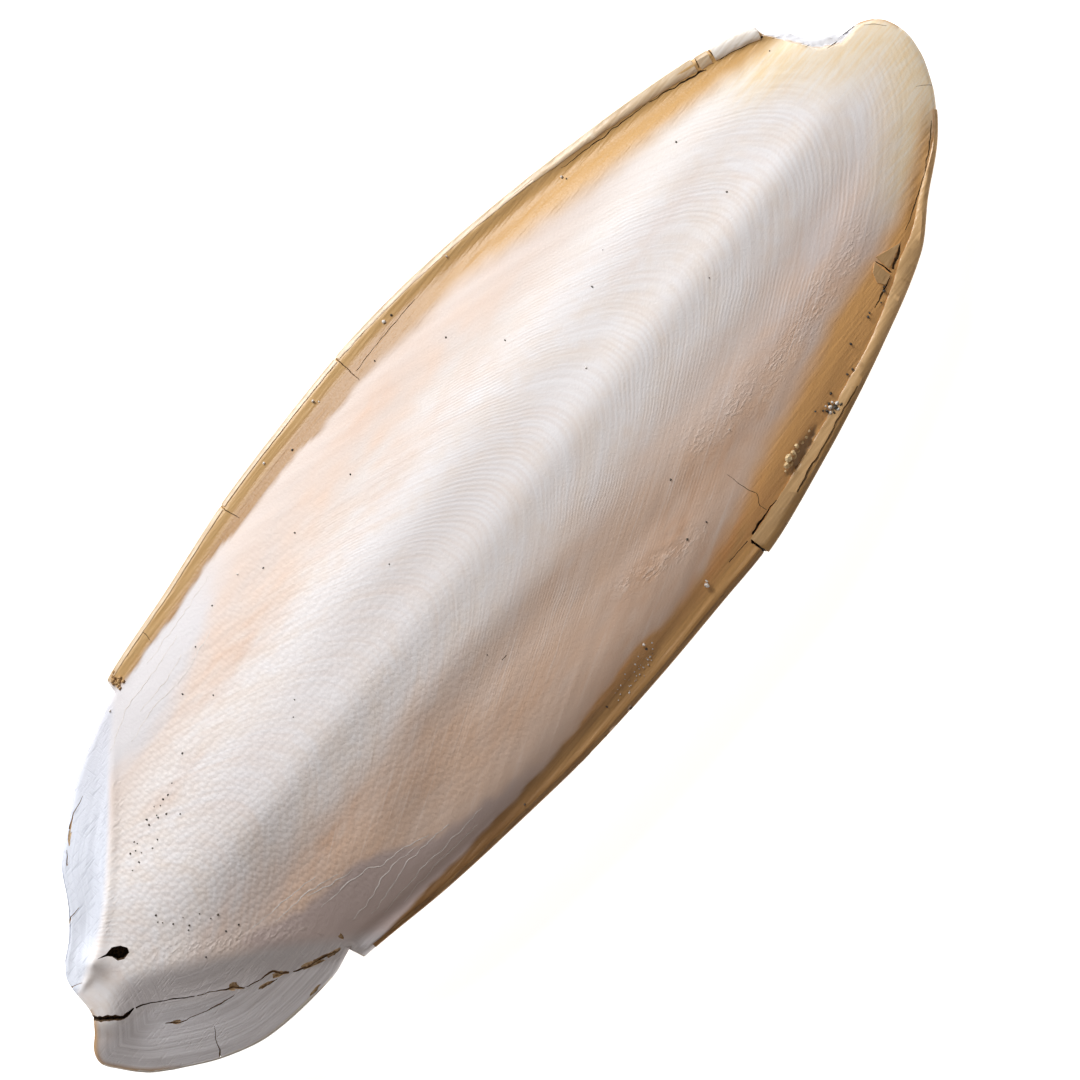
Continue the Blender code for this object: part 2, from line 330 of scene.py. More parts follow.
def pit_share(x, y):
    """1 in the middle of the brown pit, 0 outside it."""
    middle_x, middle_y, reach_x, reach_y = PIT
    jag = 0.35 * rough(x, y, 0.7, 0.7, 5.0)
    slant = middle_y + 0.12 * (x - middle_x)
    away = np.hypot((x - middle_x) / reach_x, (y - slant) / reach_y)
    return ease((1.15 + jag - away) / 0.4)


# %% Fine relief of the back
RIPPLE, RIPPLE_PITCH = 0.007, 1.6
WRINKLE, SWELL, STREAK, FOLD = 0.03, 0.07, 0.03, 0.09
FLANGE_RING, FLANGE_PITCH = 0.012, 1.3
WHOLE_TURN = 2 * math.pi


def fine_height(x, y, to_edge):
    """Ripples, wrinkles, folds and broken places, as height over the main shape."""
    share = sideways(x, y)
    line = growth_line(x, y)
    flange = ease(past_crease(x, y) / 1.5) * ease((FLANGE_FRONT - x) / 6)
    plate = ease((to_edge - 2.5) / 2.5) * (1 - flange)
    wander = rough(x, y, 5.0, 5.0, 1.0)
    ripples = RIPPLE * np.sin(WHOLE_TURN * line / RIPPLE_PITCH + 2.2 * wander) * ease((x + 30) / 30)
    near_spine = mound((1, -60, 6), x) * ease((15 - np.abs(y)) / 8)
    wrinkles = WRINKLE * rough(x + 0.5 * y, y, 1.6, 0.9, 9.0) * near_spine
    swells = SWELL * rough(x, y, 9.0, 5.0, 2.0) * ease((share + 0.3) / 1)
    streaks = STREAK * rough(line, y, 2.2, 5.0, 4.0) * ease((share - 0.35) / 0.4)
    right_middle = mound((1, -18, 1.6), y + 0.1 * (x - 11)) * mound((1, 12, 8), x)
    folds = FOLD * rough(x, y, 1.5, 0.8, 14.0) * right_middle
    rings = FLANGE_RING * np.sin(WHOLE_TURN * to_edge / FLANGE_PITCH + 2.5 * wander) * flange
    height = plate * (ripples + wrinkles + swells + streaks + folds) + rings
    scar = scar_share(x, y)
    chalk = 0.16 * rough(x, y, 0.5, 0.5, 11.0) + 0.12 * rough(x, y, 1.3, 1.3, 12.0)
    pit = pit_share(x, y)
    crumbs = 0.3 * np.maximum(rough(x, y, 0.8, 0.5, 13.0), 0)
    return height + scar * (chalk - SCAR_DEPTH) + pit * (crumbs - PIT_DEPTH)


# %% [markdown]
# ## The fine mesh
#
# A flat grid is laid over the outline: one direction of the grid runs along the bone and the other across,
# and the two ends bulge to the broken edges. Each point is then lifted to its height. The belly is a second,
# coarser grid, because it has less detail. The edge of the back grid is extruded down in steps, which gives
# the margin its rounded thickness, and a bridge closes the gap between the two grids.

# %% From grid to bone
STATIONS = 490
LANES = 140
CROWDING = 0.15
HALF_BREAK = 0.03


def snapped(x, places, reach):
    for place in places:
        near = np.abs(x - place) < reach
        x = np.where(near, place + np.where(x > place, HALF_BREAK, -HALF_BREAK), x)
    return x


def place_on_bone(along, across, reach):
    """Turns shares from 0 to 1 along and across the grid into x and y."""
    across = across - CROWDING * np.sin(WHOLE_TURN * across) / WHOLE_TURN
    left_x = snapped(mix(REAR_EDGE[0][1], FRONT_EDGE[0][1], along), (LEFT_MARGIN_END,), reach)
    right_x = snapped(
        mix(REAR_EDGE[-1][1], FRONT_EDGE[-1][1], along), (RIGHT_MARGIN_END, LIP_STEP_PLACE), reach
    )
    x = mix(left_x, right_x, across)
    y = mix(left_edge(left_x), right_edge(right_x), across)
    for edge, strength in ((FRONT_EDGE, along**4), (REAR_EDGE, (1 - along) ** 4)):
        edge_y = mix(edge[0][0], edge[-1][0], across)
        x = x + (curve(edge, edge_y) - mix(edge[0][1], edge[-1][1], across)) * strength
    return x, y


def read_points(mesh):
    points = np.empty(len(mesh.vertices) * 3)
    mesh.vertices.foreach_get("co", points)
    return points.reshape(-1, 3)


def write_points(mesh, x, y, z):
    mesh.vertices.foreach_set("co", np.column_stack((x, y, z)).ravel())


def flat_grid(name, stations, lanes):
    """A grid laid over the outline of the bone, at height 0."""
    bm = bmesh.new()
    bmesh.ops.create_grid(bm, x_segments=stations, y_segments=lanes, size=0.5)
    mesh = bpy.data.meshes.new(name)
    bm.to_mesh(mesh)
    bm.free()
    points = read_points(mesh)
    reach = 0.5 * 2 * HALF_LENGTH / stations
    x, y = place_on_bone(points[:, 0] + 0.5, 0.5 - points[:, 1], reach)
    write_points(mesh, x, y, np.zeros(len(x)))
    return mesh


back_mesh = flat_grid("back_grid", STATIONS, LANES)
belly_mesh = flat_grid("belly_grid", STATIONS // 2, LANES // 2)
print("back grid:", len(back_mesh.polygons), "cells; belly grid:", len(belly_mesh.polygons), "cells")


# %% Distance of every place from the outline
def edge_points(mesh):
    bm = bmesh.new()
    bm.from_mesh(mesh)
    found = [vert.co.copy() for vert in bm.verts if vert.is_boundary]
    bm.free()
    return found


outline = edge_points(back_mesh)
outline_tree = KDTree(len(outline))
for index, point in enumerate(outline):
    outline_tree.insert(point, index)
outline_tree.balance()


def distance_to_edge(x, y):
    return np.array([outline_tree.find((a, b, 0.0))[2] for a, b in zip(x.tolist(), y.tolist())])


# %% Lift the back
ROUNDING = 0.35
ROUNDING_RUN = 0.6


def back_level(x, y):
    """Height of the finished back, with its rounded edge."""
    to_edge = distance_to_edge(x, y)
    z = main_height(x, y) + fine_height(x, y, to_edge)
    return z - ROUNDING * (1 - ease(to_edge / ROUNDING_RUN)) ** 2


def lift(mesh, level):
    """Moves every point of a flat grid to its height, and tells the greatest one."""
    points = read_points(mesh)
    x, y = points[:, 0], points[:, 1]
    z = level(x, y)
    write_points(mesh, x, y, z)
    return float(z.max())


print("back rises to", round(lift(back_mesh, back_level) - FLOOR, 2), "mm over the ground")

# %% [markdown]
# ## The underside
#
# The picture does not show the belly, so it follows other bones of this kind. In front lies the last
# chamber, which is smooth. Behind it the edges of the older chambers show as a striped zone, and in the tail
# lies the hollow of the inner cone with its raised rim. The middle is worn flat where the bone rests.

# %% Height of the belly
BELLY_POWER = 2.8
CHAMBER_EDGE = 12.0
CHAMBER_BEND = 0.035
CHAMBER_STEP = 0.35
STRIPE, STRIPE_PITCH = 0.07, 1.5
CONE_RIM = (0.7, 0.0, 1.1)


def chamber_front(x, y):
    """Distance in front of the edge of the last chamber, along the bone."""
    return x - CHAMBER_EDGE + CHAMBER_BEND * y**2


def cone_rim(x, y):
    """Distance from the curved rim of the inner cone."""
    return x + 57 - 0.11 * (y - 0.5) ** 2


def belly_height(x, y):
    reach = np.maximum(sound_edge(x, y) - BELLY_INSET, 1.0)
    share = np.minimum(np.abs(y) / reach, 1.0)
    bulge = BELLY_DEPTH * curve(BELLY_RUN, x) * (1 - share**BELLY_POWER)
    height = rim_height(x) - EDGE_THICKNESS - bulge
    inner = ease((1 - share) / 0.25)
    line = chamber_front(x, y)
    height += CHAMBER_STEP * (1 - ease(line / 1.2)) * inner
    striped = (1 - ease(line / 2)) * ease((x + 52) / 8) * inner
    wander = 1.2 * rough(x, y, 6.0, 6.0, 21.0)
    height += striped * STRIPE * np.sin(WHOLE_TURN * line / STRIPE_PITCH + wander)
    height -= mound(CONE_RIM, cone_rim(x, y)) * ease((9 - np.abs(y)) / 3) * inner
    height += 0.10 * rough(x, y, 6.0, 4.0, 22.0) * inner
    return np.maximum(height, FLOOR)


print("belly reaches up to", round(lift(belly_mesh, belly_height), 2), "mm over the plane of the margins")


# %% Join the two grids into one closed bone
def round_down(bm, rim, drop, bulge):
    """Extrudes the rim's edges down by a share of the thickness and moves them outwards."""
    grown = bmesh.ops.extrude_edge_only(bm, edges=rim)["geom"]
    for vert in (item for item in grown if isinstance(item, bmesh.types.BMVert)):
        away = Vector((vert.co.x * 0.25, vert.co.y, 0)).normalized()
        vert.co += away * bulge
        vert.co.z -= drop
    return [item for item in grown if isinstance(item, bmesh.types.BMEdge) and item.is_boundary]


def join_bone():
    bm = bmesh.new()
    bm.from_mesh(back_mesh)
    rim = [edge for edge in bm.edges if edge.is_boundary]
    rim = round_down(bm, rim, 0.3, 0.03)
    rim = round_down(bm, rim, 0.4, -0.02)
    bm.from_mesh(belly_mesh)
    bmesh.ops.bridge_loops(bm, edges=[edge for edge in bm.edges if edge.is_boundary])
    bmesh.ops.recalc_face_normals(bm, faces=list(bm.faces))
    open_edges = sum(1 for edge in bm.edges if not edge.is_manifold)
    print("closed bone:", len(bm.faces), "faces,", open_edges, "open edges")
    return bm


def to_metres(bm):
    bmesh.ops.translate(bm, verts=list(bm.verts), vec=(0, 0, -FLOOR))
    bmesh.ops.scale(bm, verts=list(bm.verts), vec=(MM, MM, MM))


def new_object(name, bm):
    """Turns a mesh shaped in millimetres into an object in the shared frame."""
    to_metres(bm)
    mesh = bpy.data.meshes.new(name)
    bm.to_mesh(mesh)
    bm.free()
    thing = bpy.data.objects.new(name, mesh)
    bpy.context.scene.collection.objects.link(thing)
    return thing


def closed_object(name, bm):
    """The same for closed shapes, whose faces are first turned outwards."""
    bmesh.ops.recalc_face_normals(bm, faces=list(bm.faces))
    return new_object(name, bm)


bone = new_object("cuttlebone_shell", join_bone())

# %% [markdown]
# ## Painting the bone by place
#
# The material has to know where it is: on the tan margin, on a flange, in the striped zone and so on. Each of
# these is stored on the mesh as a number from 0 to 1 for every point, an attribute, and the material's nodes
# read them. The edge of the tan margin was measured as two more curves.

# %% Inner edge of the tan margins and of the grey side of the tail
LEFT_TAN = (
    (-43, 23.0), (-35.5, 23.2), (-29.5, 23.5), (-24.5, 24.1), (-17.5, 23.9), (-9.5, 24.1), (0.5, 23.5),
    (5.5, 23.5), (10.5, 23.0), (15.5, 22.2), (20.5, 22.0), (25.5, 20.8), (30.5, 19.3), (35.5, 18.0),
    (40.5, 16.6), (45.5, 15.6), (52.5, 14.0), (60.5, 12.3), (68.5, 10.3),
)
RIGHT_TAN = (
    (-45.5, -21.0), (-38, -21.3), (-32.5, -22.1), (-27.5, -22.4), (-19.5, -23.0), (-9.5, -23.3), (0.5, -22.7),
    (5.5, -23.5), (14.5, -23.0), (20.5, -22.2), (25.5, -20.7), (30.5, -19.5), (40.5, -17.7), (48.5, -15.7),
    (60.5, -14.7), (70.5, -10.7), (75.5, -7.2),
)
GREY_EDGE = (
    (-57, -7.6), (-51.4, -10.2), (-47, -11.8), (-40.5, -12.9), (-36.7, -15.1), (-34, -17.3), (-30, -18.9),
    (-22, -21.1), (-14, -22.2),
)
PALE_EDGE = ((-50, 16.4), (-44, 15.8), (-38, 16.6), (-28, 20.0), (-18, 23.2))

# %% Amber stains and the lines of small folds
STAINS = (
    (16.5, -23.7, 7.0, 1.1, 0.8), (-4.0, -23.0, 8.0, 0.8, 0.6),
    (24.0, -16.0, 13.0, 2.7, 0.8), (9.0, -18.0, 8.0, 1.9, 0.75), (-40.0, -8.8, 9.0, 2.2, 0.6),
    (-28.0, -12.6, 10.0, 2.4, 0.45), (-13.0, -16.2, 9.0, 2.2, 0.55), (47.0, -13.4, 9.0, 1.5, 0.6),
    (0.0, -21.0, 9.0, 1.5, 0.5), (-20.0, -8.0, 8.0, 2.4, 0.3), (20.0, -22.0, 9.0, 1.5, 0.5),
    (2.0, -10.0, 9.0, 1.3, 0.35), (-2.0, 13.6, 9.0, 1.6, 0.25), (-31.0, 14.6, 12.0, 1.8, 0.4),
    (3.0, 20.6, 6.0, 1.5, 0.4), (-49.0, 10.3, 7.0, 1.3, 0.35), (42.0, 7.4, 8.0, 1.2, 0.2),
    (-56.0, -4.6, 6.0, 1.5, 0.3),
)
FOLD_LINES = (
    (1.4, ((3, -16), (8, -17.6), (11, -18.7), (14, -19.3), (19, -20.3))),
    (2.2, ((22, -12.0), (30, -13.4), (36, -14.2), (43, -14.2), (49, -13.2), (60, -11.8))),
    (1.2, ((-68, 4.6), (-60.2, 9.2), (-54.7, 13.2), (-49, 17.6))),
    (1.5, ((-67, 0.5), (-62, -3.2), (-55, -8.9), (-48, -16.2))),
)

# %% Shares of each finish
RIGHT_TAN_END = -48.0
PEACH_LEFT = (0.63, 0.62, 0.16)
PEACH_RIGHT = (1.0, 0.58, 0.26)


def tan_share(x, y):
    """1 on the horny margin, 0 on the white plate; the change is sharp behind and soft in front."""
    inner = np.where(y > 0, curve(LEFT_TAN, x), -curve(RIGHT_TAN, x))
    blur = mix(0.5, 3.2, ease((x + 5) / 35))
    rear = np.where(y > 0, LEFT_MARGIN_END, RIGHT_TAN_END)
    wave = 0.35 * rough(x, y, 2.5, 1.5, 31.0)
    return ease((np.abs(y) - inner + wave) / blur + 0.5) * span(x, rear, 0.6, 76.5, 6)


def grey_share(x, y):
    """1 on the smooth grey triangle on the right of the tail."""
    wave = 0.5 * rough(x, y, 2.0, 1.2, 32.0)
    return ease((curve(GREY_EDGE, x) - y + wave) / 1.4 + 0.5) * span(x, -59, 4, -10, 16)


def pale_share(x, y):
    """1 on the smooth bluish strip along the left of the tail."""
    wave = 0.8 * rough(x, y, 4.0, 1.2, 37.0)
    return ease((y - curve(PALE_EDGE, x) + wave) / 3.0 + 0.4) * span(x, -56, 6, -17, 14)


# %% Stains, folds and peach patches
def stain_share(x, y):
    """1 in the middle of an amber stain; the stains are frayed along the growth lines."""
    total = np.zeros(len(x))
    for middle_x, middle_y, reach_x, reach_y, strength in STAINS:
        total += strength * np.exp(-(((x - middle_x) / reach_x) ** 2) - ((y - middle_y) / reach_y) ** 2)
    fray = 0.8 + 0.9 * rough(growth_line(x, y), y, 2.6, 1.8, 35.0) + 0.6 * rough(x, y, 2.4, 0.7, 36.0)
    return np.clip(total * fray, 0, 1)


def fold_share(x, y):
    """1 along the lines where the plate is crumpled into small worm-like folds."""
    total = np.zeros(len(x))
    for reach, line in FOLD_LINES:
        total += span(x, line[0][0], 3, line[-1][0], 3) * mound((1, 0, reach), y - curve(line, x))
    return np.clip(total * (0.7 + 0.9 * rough(x, y, 2.5, 1.3, 38.0)), 0, 1)


def peach_share(x, y):
    """1 on the peach patches half way down both slopes."""
    share = sideways(x, y)
    left = mound(PEACH_LEFT, share) * (y > 0) * span(x, -50, 25, 40, 25)
    right = mound(PEACH_RIGHT, share) * (y <= 0) * span(x, -58, 12, 70, 25)
    patches = 0.45 + 0.7 * rough(x, y, 9.0, 3.5, 33.0) + 0.6 * rough(x, y, 3.5, 1.2, 34.0)
    return np.clip((left + right) * patches, 0, 1)


# %% The front margin, the rims and the beads
def cream_share(x, y, to_edge):
    """1 at the front margin, where light passes through."""
    front = ease((10.5 - to_edge) / 8.5) * ease((x - 54) / 14)
    beside_scar = 0.6 * mound((1, 65, 5), x) * mound((1, 9, 2.5), y)
    return np.minimum(front * mix(1.0, 0.8, ease((y - 1) / 6)) + beside_scar, 1.0)


def rim_share(x, y, to_edge):
    """1 on the thin amber rims: the rear edge of the lobe, the peeled front edge and beside the scar."""
    rear = ease((0.9 - to_edge) / 0.8) * ease((-73 - x) / 4) * (y < 1)
    front = ease((0.5 - to_edge) / 0.4) * ease((x - 76) / 1.5) * (y > 0)
    scar = scar_share(x, y)
    return np.maximum(np.maximum(rear, front), 2.4 * scar * (1 - scar))


def bead_share(x, to_edge):
    """1 where the growth lines break up into beads, more than 1 near the tail."""
    return ease((5 - x) / 30) * (1 + 0.5 * ease((-36 - x) / 12)) * ease((to_edge - 4) / 4)


# %% Shares that belong to the back alone
def back_shares(x, y, to_edge):
    share = sideways(x, y)
    flange_edge = np.where(y > curve(LEFT_CREASE, x), 1.2, 3.0)
    flange = ease(past_crease(x, y) / flange_edge) * ease((-43 - x) / 3)
    left, right = y > 0, y < 0
    return {
        "flange": flange,
        "grey_side": grey_share(x, y),
        "peach": peach_share(x, y),
        "pale_side": pale_share(x, y),
        "stain": stain_share(x, y),
        "folds": fold_share(x, y),
        "lobe": ease((curve(CRACK, x) - y) / 1.2) * mix(1, 0.5, ease((-72.5 - x) / 4)),
        "rim": rim_share(x, y, to_edge),
        "cream": cream_share(x, y, to_edge),
        "scar": scar_share(x, y),
        "pit": pit_share(x, y),
        "granular": bead_share(x, to_edge) * (1 - flange),
        "patchy": ease(0.5 + 1.6 * rough(x, y, 8.0, 8.0, 42.0)),
        "left_slope": ease((share - 0.35) / 0.4) * left,
        "left_rim": ease((share - 0.46) / 0.26) * left * ease((58 - x) / 25),
        "crown": mound((1, 4.0, 4.5), y) * span(x, -58, 18, 30, 35),
        "tail_shade": ease((1 - y) / 9) * span(x, -67, 14, -41, 9) * (1 - flange),
        # the right slope, which gets painted shade, and painted highlights on its growth-line crests
        "right_slope": ease((share - 0.12) / 0.4) * right * ease((76 - x) / 22),
    }


# %% Store the shares on the mesh
def paint(mesh, name, values):
    mesh.attributes.new(name, "FLOAT", "POINT").data.foreach_set("value", values.astype(np.float32))


def paint_bone(mesh):
    points = read_points(mesh) / MM
    x, y, z = points[:, 0], points[:, 1], points[:, 2] + FLOOR
    to_edge = distance_to_edge(x, y)
    line = growth_line(x, y)
    below = z < mix(main_height(x, y), belly_height(x, y), 0.6)
    tan_below = ease((3.0 - to_edge) / 1.0) * ease((x + 48) / 6)
    streaks = 0.9 * rough(line, y, 4.0, 6.0, 43.0) + 0.5 * rough(x, y, 1.4, 1.2, 44.0)
    paint(mesh, "belly", below.astype(float))
    paint(mesh, "tan_margin", np.where(below, tan_below, tan_share(x, y)))
    paint(mesh, "line", np.where(below, chamber_front(x, y), line))
    paint(mesh, "to_edge", to_edge)
    paint(mesh, "sideways", sideways(x, y))
    paint(mesh, "wander", 4.5 * rough(x, y, 4.0, 4.0, 41.0))
    paint(mesh, "mottle", ease(0.4 + streaks))
    for name, values in back_shares(x, y, to_edge).items():
        paint(mesh, name, values * (1.0 - below))


# %% [markdown]
# ## Node helpers
#
# A material is a small network of nodes. These helpers add one node each and connect it, so that the recipes
# below read like sentences. Colours are given as they look on a screen, from 0 to 255, and turned into the
# linear values that the renderer works in.

# %% Helpers for materials
def tone(red, green, blue):
    """A colour as seen on a screen, made linear."""
    shares = (value / 255 for value in (red, green, blue))
    return (*(s / 12.92 if s <= 0.04045 else ((s + 0.055) / 1.055) ** 2.4 for s in shares), 1.0)


def fill(tree, socket, value):
    if isinstance(value, bpy.types.NodeSocket):
        tree.links.new(value, socket)
    else:
        socket.default_value = value


def start_material(name, roughness):
    material = bpy.data.materials.new(name)
    material.use_nodes = True
    shader = material.node_tree.nodes["Principled BSDF"]
    shader.inputs["Roughness"].default_value = roughness
    return material, material.node_tree, shader


def stored(tree, name):
    made = tree.nodes.new("ShaderNodeAttribute")
    made.attribute_name = name
    return made.outputs["Fac"]


def maths(tree, operation, first, second=0.0):
    made = tree.nodes.new("ShaderNodeMath")
    made.operation = operation
    fill(tree, made.inputs[0], first)
    fill(tree, made.inputs[1], second)
    return made.outputs[0]


def colour_mix(tree, share, first, second):
    made = tree.nodes.new("ShaderNodeMix")
    made.data_type = "RGBA"
    fill(tree, made.inputs[0], share)
    fill(tree, made.inputs[6], first)
    fill(tree, made.inputs[7], second)
    return made.outputs[2]


def places(tree, stretch=(1.0, 1.0, 1.0), turn=0.0):
    """Places on the piece in millimetres, stretched and turned for a pattern."""
    coordinate = tree.nodes.new("ShaderNodeTexCoord")
    mapping = tree.nodes.new("ShaderNodeMapping")
    mapping.inputs["Scale"].default_value = [1000 * value for value in stretch]
    mapping.inputs["Rotation"].default_value = (0, 0, turn)
    tree.links.new(coordinate.outputs["Object"], mapping.inputs["Vector"])
    return mapping.outputs["Vector"]


def clouds(tree, vector, scale, detail=2.0):
    made = tree.nodes.new("ShaderNodeTexNoise")
    fill(tree, made.inputs["Vector"], vector)
    made.inputs["Scale"].default_value = scale
    made.inputs["Detail"].default_value = detail
    return made.outputs["Fac"]


def ramp(tree, value, low, high):
    """0 where the value is below low and 1 where it is above high."""
    made = tree.nodes.new("ShaderNodeMapRange")
    made.inputs["From Min"].default_value = low
    made.inputs["From Max"].default_value = high
    fill(tree, made.inputs["Value"], value)
    return made.outputs["Result"]


def joined(tree, x, y, z=0.0):
    made = tree.nodes.new("ShaderNodeCombineXYZ")
    for socket, value in zip(made.inputs, (x, y, z)):
        fill(tree, socket, value)
    return made.outputs["Vector"]


def bumped(tree, height, distance):
    made = tree.nodes.new("ShaderNodeBump")
    made.inputs["Distance"].default_value = distance
    fill(tree, made.inputs["Height"], height)
    return made.outputs["Normal"]


# %% Helpers made of the ones above
def times(tree, first, *others):
    for other in others:
        first = maths(tree, "MULTIPLY", first, other)
    return first


def plus(tree, first, *others):
    for other in others:
        first = maths(tree, "ADD", first, other)
    return first


def split(tree, vector):
    """The x and y of a place, as two sockets."""
    made = tree.nodes.new("ShaderNodeSeparateXYZ")
    fill(tree, made.inputs[0], vector)
    return made.outputs["X"], made.outputs["Y"]


def layered(tree, colour, layers):
    """Lays tones over a colour, each where a stored share says and as strongly as its layer says."""
    for name, strength, over in layers:
        colour = colour_mix(tree, times(tree, stored(tree, name), strength), colour, over)
    return colour


def dress(tree, shader, colour, height, distance):
    """Gives a shader its colour and its fine relief."""
    fill(tree, shader.inputs["Base Color"], colour)
    fill(tree, shader.inputs["Normal"], bumped(tree, height, distance))


def patchy_material(name, roughness, pattern, one, other):
    """A finish of two tones in soft patches, with a grain of its own."""
    (scale, detail), (low, high), (grain, grain_detail, depth) = pattern
    material, tree, shader = start_material(name, roughness)
    spot = places(tree)
    colour = colour_mix(tree, ramp(tree, clouds(tree, spot, scale, detail), low, high), one, other)
    dress(tree, shader, colour, clouds(tree, spot, grain, grain_detail), depth)
    return material


# %% [markdown]
# ## The finish of the bone
#
# Dry cuttlebone is matte and chalky, white with a breath of peach, and its horny margin is tan, smoother and
# a little glossy. The growth lines and granules are finer than the mesh, so they are bump, driven by the same
# growth lines that shaped the ripples.

# %% Colours of the bone
WHITE = tone(248, 245, 246)
WARM_WHITE = tone(246, 238, 233)
PEACH = tone(238, 205, 180)
AMBER = tone(221, 180, 149)
LEFT_DIM = tone(244, 239, 235)
LEFT_RIM = tone(219, 203, 194)
CROWN_DIM = tone(224, 219, 220)
TAIL_SHADE = tone(196, 184, 181)
# The next two tones are painted shade on the right slope, greyer in front and warm behind.
RIGHT_FRONT_SHADE = tone(222, 210, 207)
RIGHT_WARM_SHADE = tone(231, 206, 189)
PALE_SIDE = tone(214, 214, 219)
HORN_LEFT = (tone(196, 156, 100), tone(214, 176, 122))
# painted shade for the gutter inside the left lip
HORN_GUTTER_SHADE = tone(160, 118, 64)
HORN_RIGHT = (tone(156, 116, 68), tone(190, 147, 94))
GOLD_LEFT = tone(197, 153, 91)
GOLD_RIGHT = tone(238, 182, 114)
FLANGE_LEFT = tone(224, 228, 238)
# painted shade: the right flange is a grey, darker copy of the bluish-white left flange
FLANGE_RIGHT_SHADE = tone(204, 198, 198)
LOBE = tone(240, 238, 242)
LINE_TONE = tone(210, 184, 166)
# painted highlight on the crests of the growth lines
CREST_HIGHLIGHT = tone(244, 232, 226)
# painted shade between the beads
BEAD_GAP_SHADE = tone(208, 190, 180)
FOLD_TONE = tone(240, 226, 216)
# painted shade: darker rings for the grey right flange
RING_RIGHT_SHADE = tone(184, 178, 180)
RING_LEFT = tone(204, 208, 220)
SCRATCH_RIGHT = tone(232, 226, 226)
SCRATCH_LEFT = tone(182, 186, 199)
FLANGE_FRONT_TONE = tone(198, 197, 204)
REAR_HORN = tone(122, 86, 48)
STAINED_HORN = tone(240, 174, 106)
GREY = tone(198, 180, 175)
CREAM = (tone(248, 220, 170), tone(252, 240, 218))
RIM_BROWN = tone(188, 146, 96)
CHALK = tone(226, 226, 230)
BELLY_WHITE = (tone(240, 236, 228), tone(228, 220, 206))
PIT_BROWN = tone(166, 132, 94)


# %% Growth lines as a pattern
LINE_PITCH = 0.8
# the last is how strong the painted highlight on the growth-line crests is
LINE_SHARE, LINE_RIGHT, CREST_HIGHLIGHT_SHARE = 0.14, 0.16, 0.42


def growth_pattern(tree):
    """Irregular lines that follow the growth of the bone, between 0 and 1."""
    line = stored(tree, "line")
    side = stored(tree, "sideways")
    long_way = times(tree, side, 3.0)
    fine = clouds(tree, joined(tree, times(tree, line, 1.25), long_way), 1.0, 2.0)
    broad = clouds(tree, joined(tree, times(tree, line, 0.35), long_way, 7.0), 1.0, 2.0)
    near_margin = ramp(tree, side, 0.45, 0.8)
    lines = tree.nodes.new("ShaderNodeMix")
    fill(tree, lines.inputs[0], near_margin)
    fill(tree, lines.inputs[2], fine)
    fill(tree, lines.inputs[3], broad)
    phase = plus(tree, times(tree, line, WHOLE_TURN / LINE_PITCH), stored(tree, "wander"))
    fade = maths(tree, "MAXIMUM", near_margin, times(tree, stored(tree, "granular"), 0.8))
    strength = times(tree, maths(tree, "SUBTRACT", 1.0, fade), stored(tree, "patchy"), 0.2)
    wave = maths(tree, "SINE", phase)
    return plus(tree, lines.outputs[0], times(tree, wave, strength)), broad


# %% Beads, where the growth lines break up behind the middle
def bead_pattern(tree, spot):
    """Rounded beads: 0 in the middle of a bead, larger between beads."""
    made = tree.nodes.new("ShaderNodeTexVoronoi")
    made.voronoi_dimensions = "2D"
    made.inputs["Scale"].default_value = 1.5
    made.inputs["Randomness"].default_value = 0.6
    fill(tree, made.inputs["Vector"], spot)
    return times(tree, made.outputs["Distance"], stored(tree, "granular"))


# %% Colour of the white plate
def plate_colour(tree, growth, broad, beads, folds, forward):
    on_right = stored(tree, "right_slope")
    # painted shade on the right slope, warm behind and greyer in front
    right = colour_mix(tree, ramp(tree, forward, 22.0, 50.0), RIGHT_WARM_SHADE, RIGHT_FRONT_SHADE)
    colour = colour_mix(tree, stored(tree, "mottle"), WHITE, WARM_WHITE)
    colour = layered(tree, colour, (
        ("left_slope", 1.0, LEFT_DIM), ("left_rim", 0.85, LEFT_RIM), ("crown", 0.6, CROWN_DIM),
        ("right_slope", 1.0, right), ("tail_shade", 0.5, TAIL_SHADE), ("peach", 1.0, PEACH),
        ("stain", 1.0, AMBER),
    ))
    arcs = times(tree, ramp(tree, broad, 0.56, 0.74), 0.14)
    deep = plus(tree, times(tree, on_right, LINE_RIGHT), LINE_SHARE)
    lines = times(tree, ramp(tree, growth, 0.6, 0.35), deep)
    # painted highlight on the crests of the growth lines on the right slope
    crest_highlights = times(tree, ramp(tree, growth, 0.56, 0.74), on_right, CREST_HIGHLIGHT_SHARE)
    # painted shade in the hollows between the beads
    bead_gap_shade = times(tree, ramp(tree, beads, 0.3, 0.9), 0.12)
    for share, over in ((arcs, PEACH), (lines, LINE_TONE), (crest_highlights, CREST_HIGHLIGHT), (bead_gap_shade, BEAD_GAP_SHADE)):
        colour = colour_mix(tree, share, colour, over)
    colour = layered(tree, colour, (("grey_side", 1.0, GREY), ("pale_side", 0.75, PALE_SIDE)))
    return colour_mix(tree, times(tree, folds, 0.35), colour, FOLD_TONE)


# %% Colour of the flanges and of the horn
def flange_colour(tree, rings, scratches, forward, on_left):
    # the right flange and its rings are painted shade, a grey copy of the bluish-white left flange
    right = colour_mix(tree, stored(tree, "lobe"), FLANGE_RIGHT_SHADE, LOBE)
    right = colour_mix(tree, times(tree, rings, 0.55), right, RING_RIGHT_SHADE)
    right = colour_mix(tree, times(tree, scratches, 0.4), right, SCRATCH_RIGHT)
    left = colour_mix(tree, times(tree, rings, 0.35), FLANGE_LEFT, RING_LEFT)
    left = colour_mix(tree, times(tree, scratches, 0.5), left, SCRATCH_LEFT)
    left = colour_mix(tree, times(tree, ramp(tree, forward, -60.0, -47.0), 0.7), left, FLANGE_FRONT_TONE)
    return colour_mix(tree, on_left, right, left)


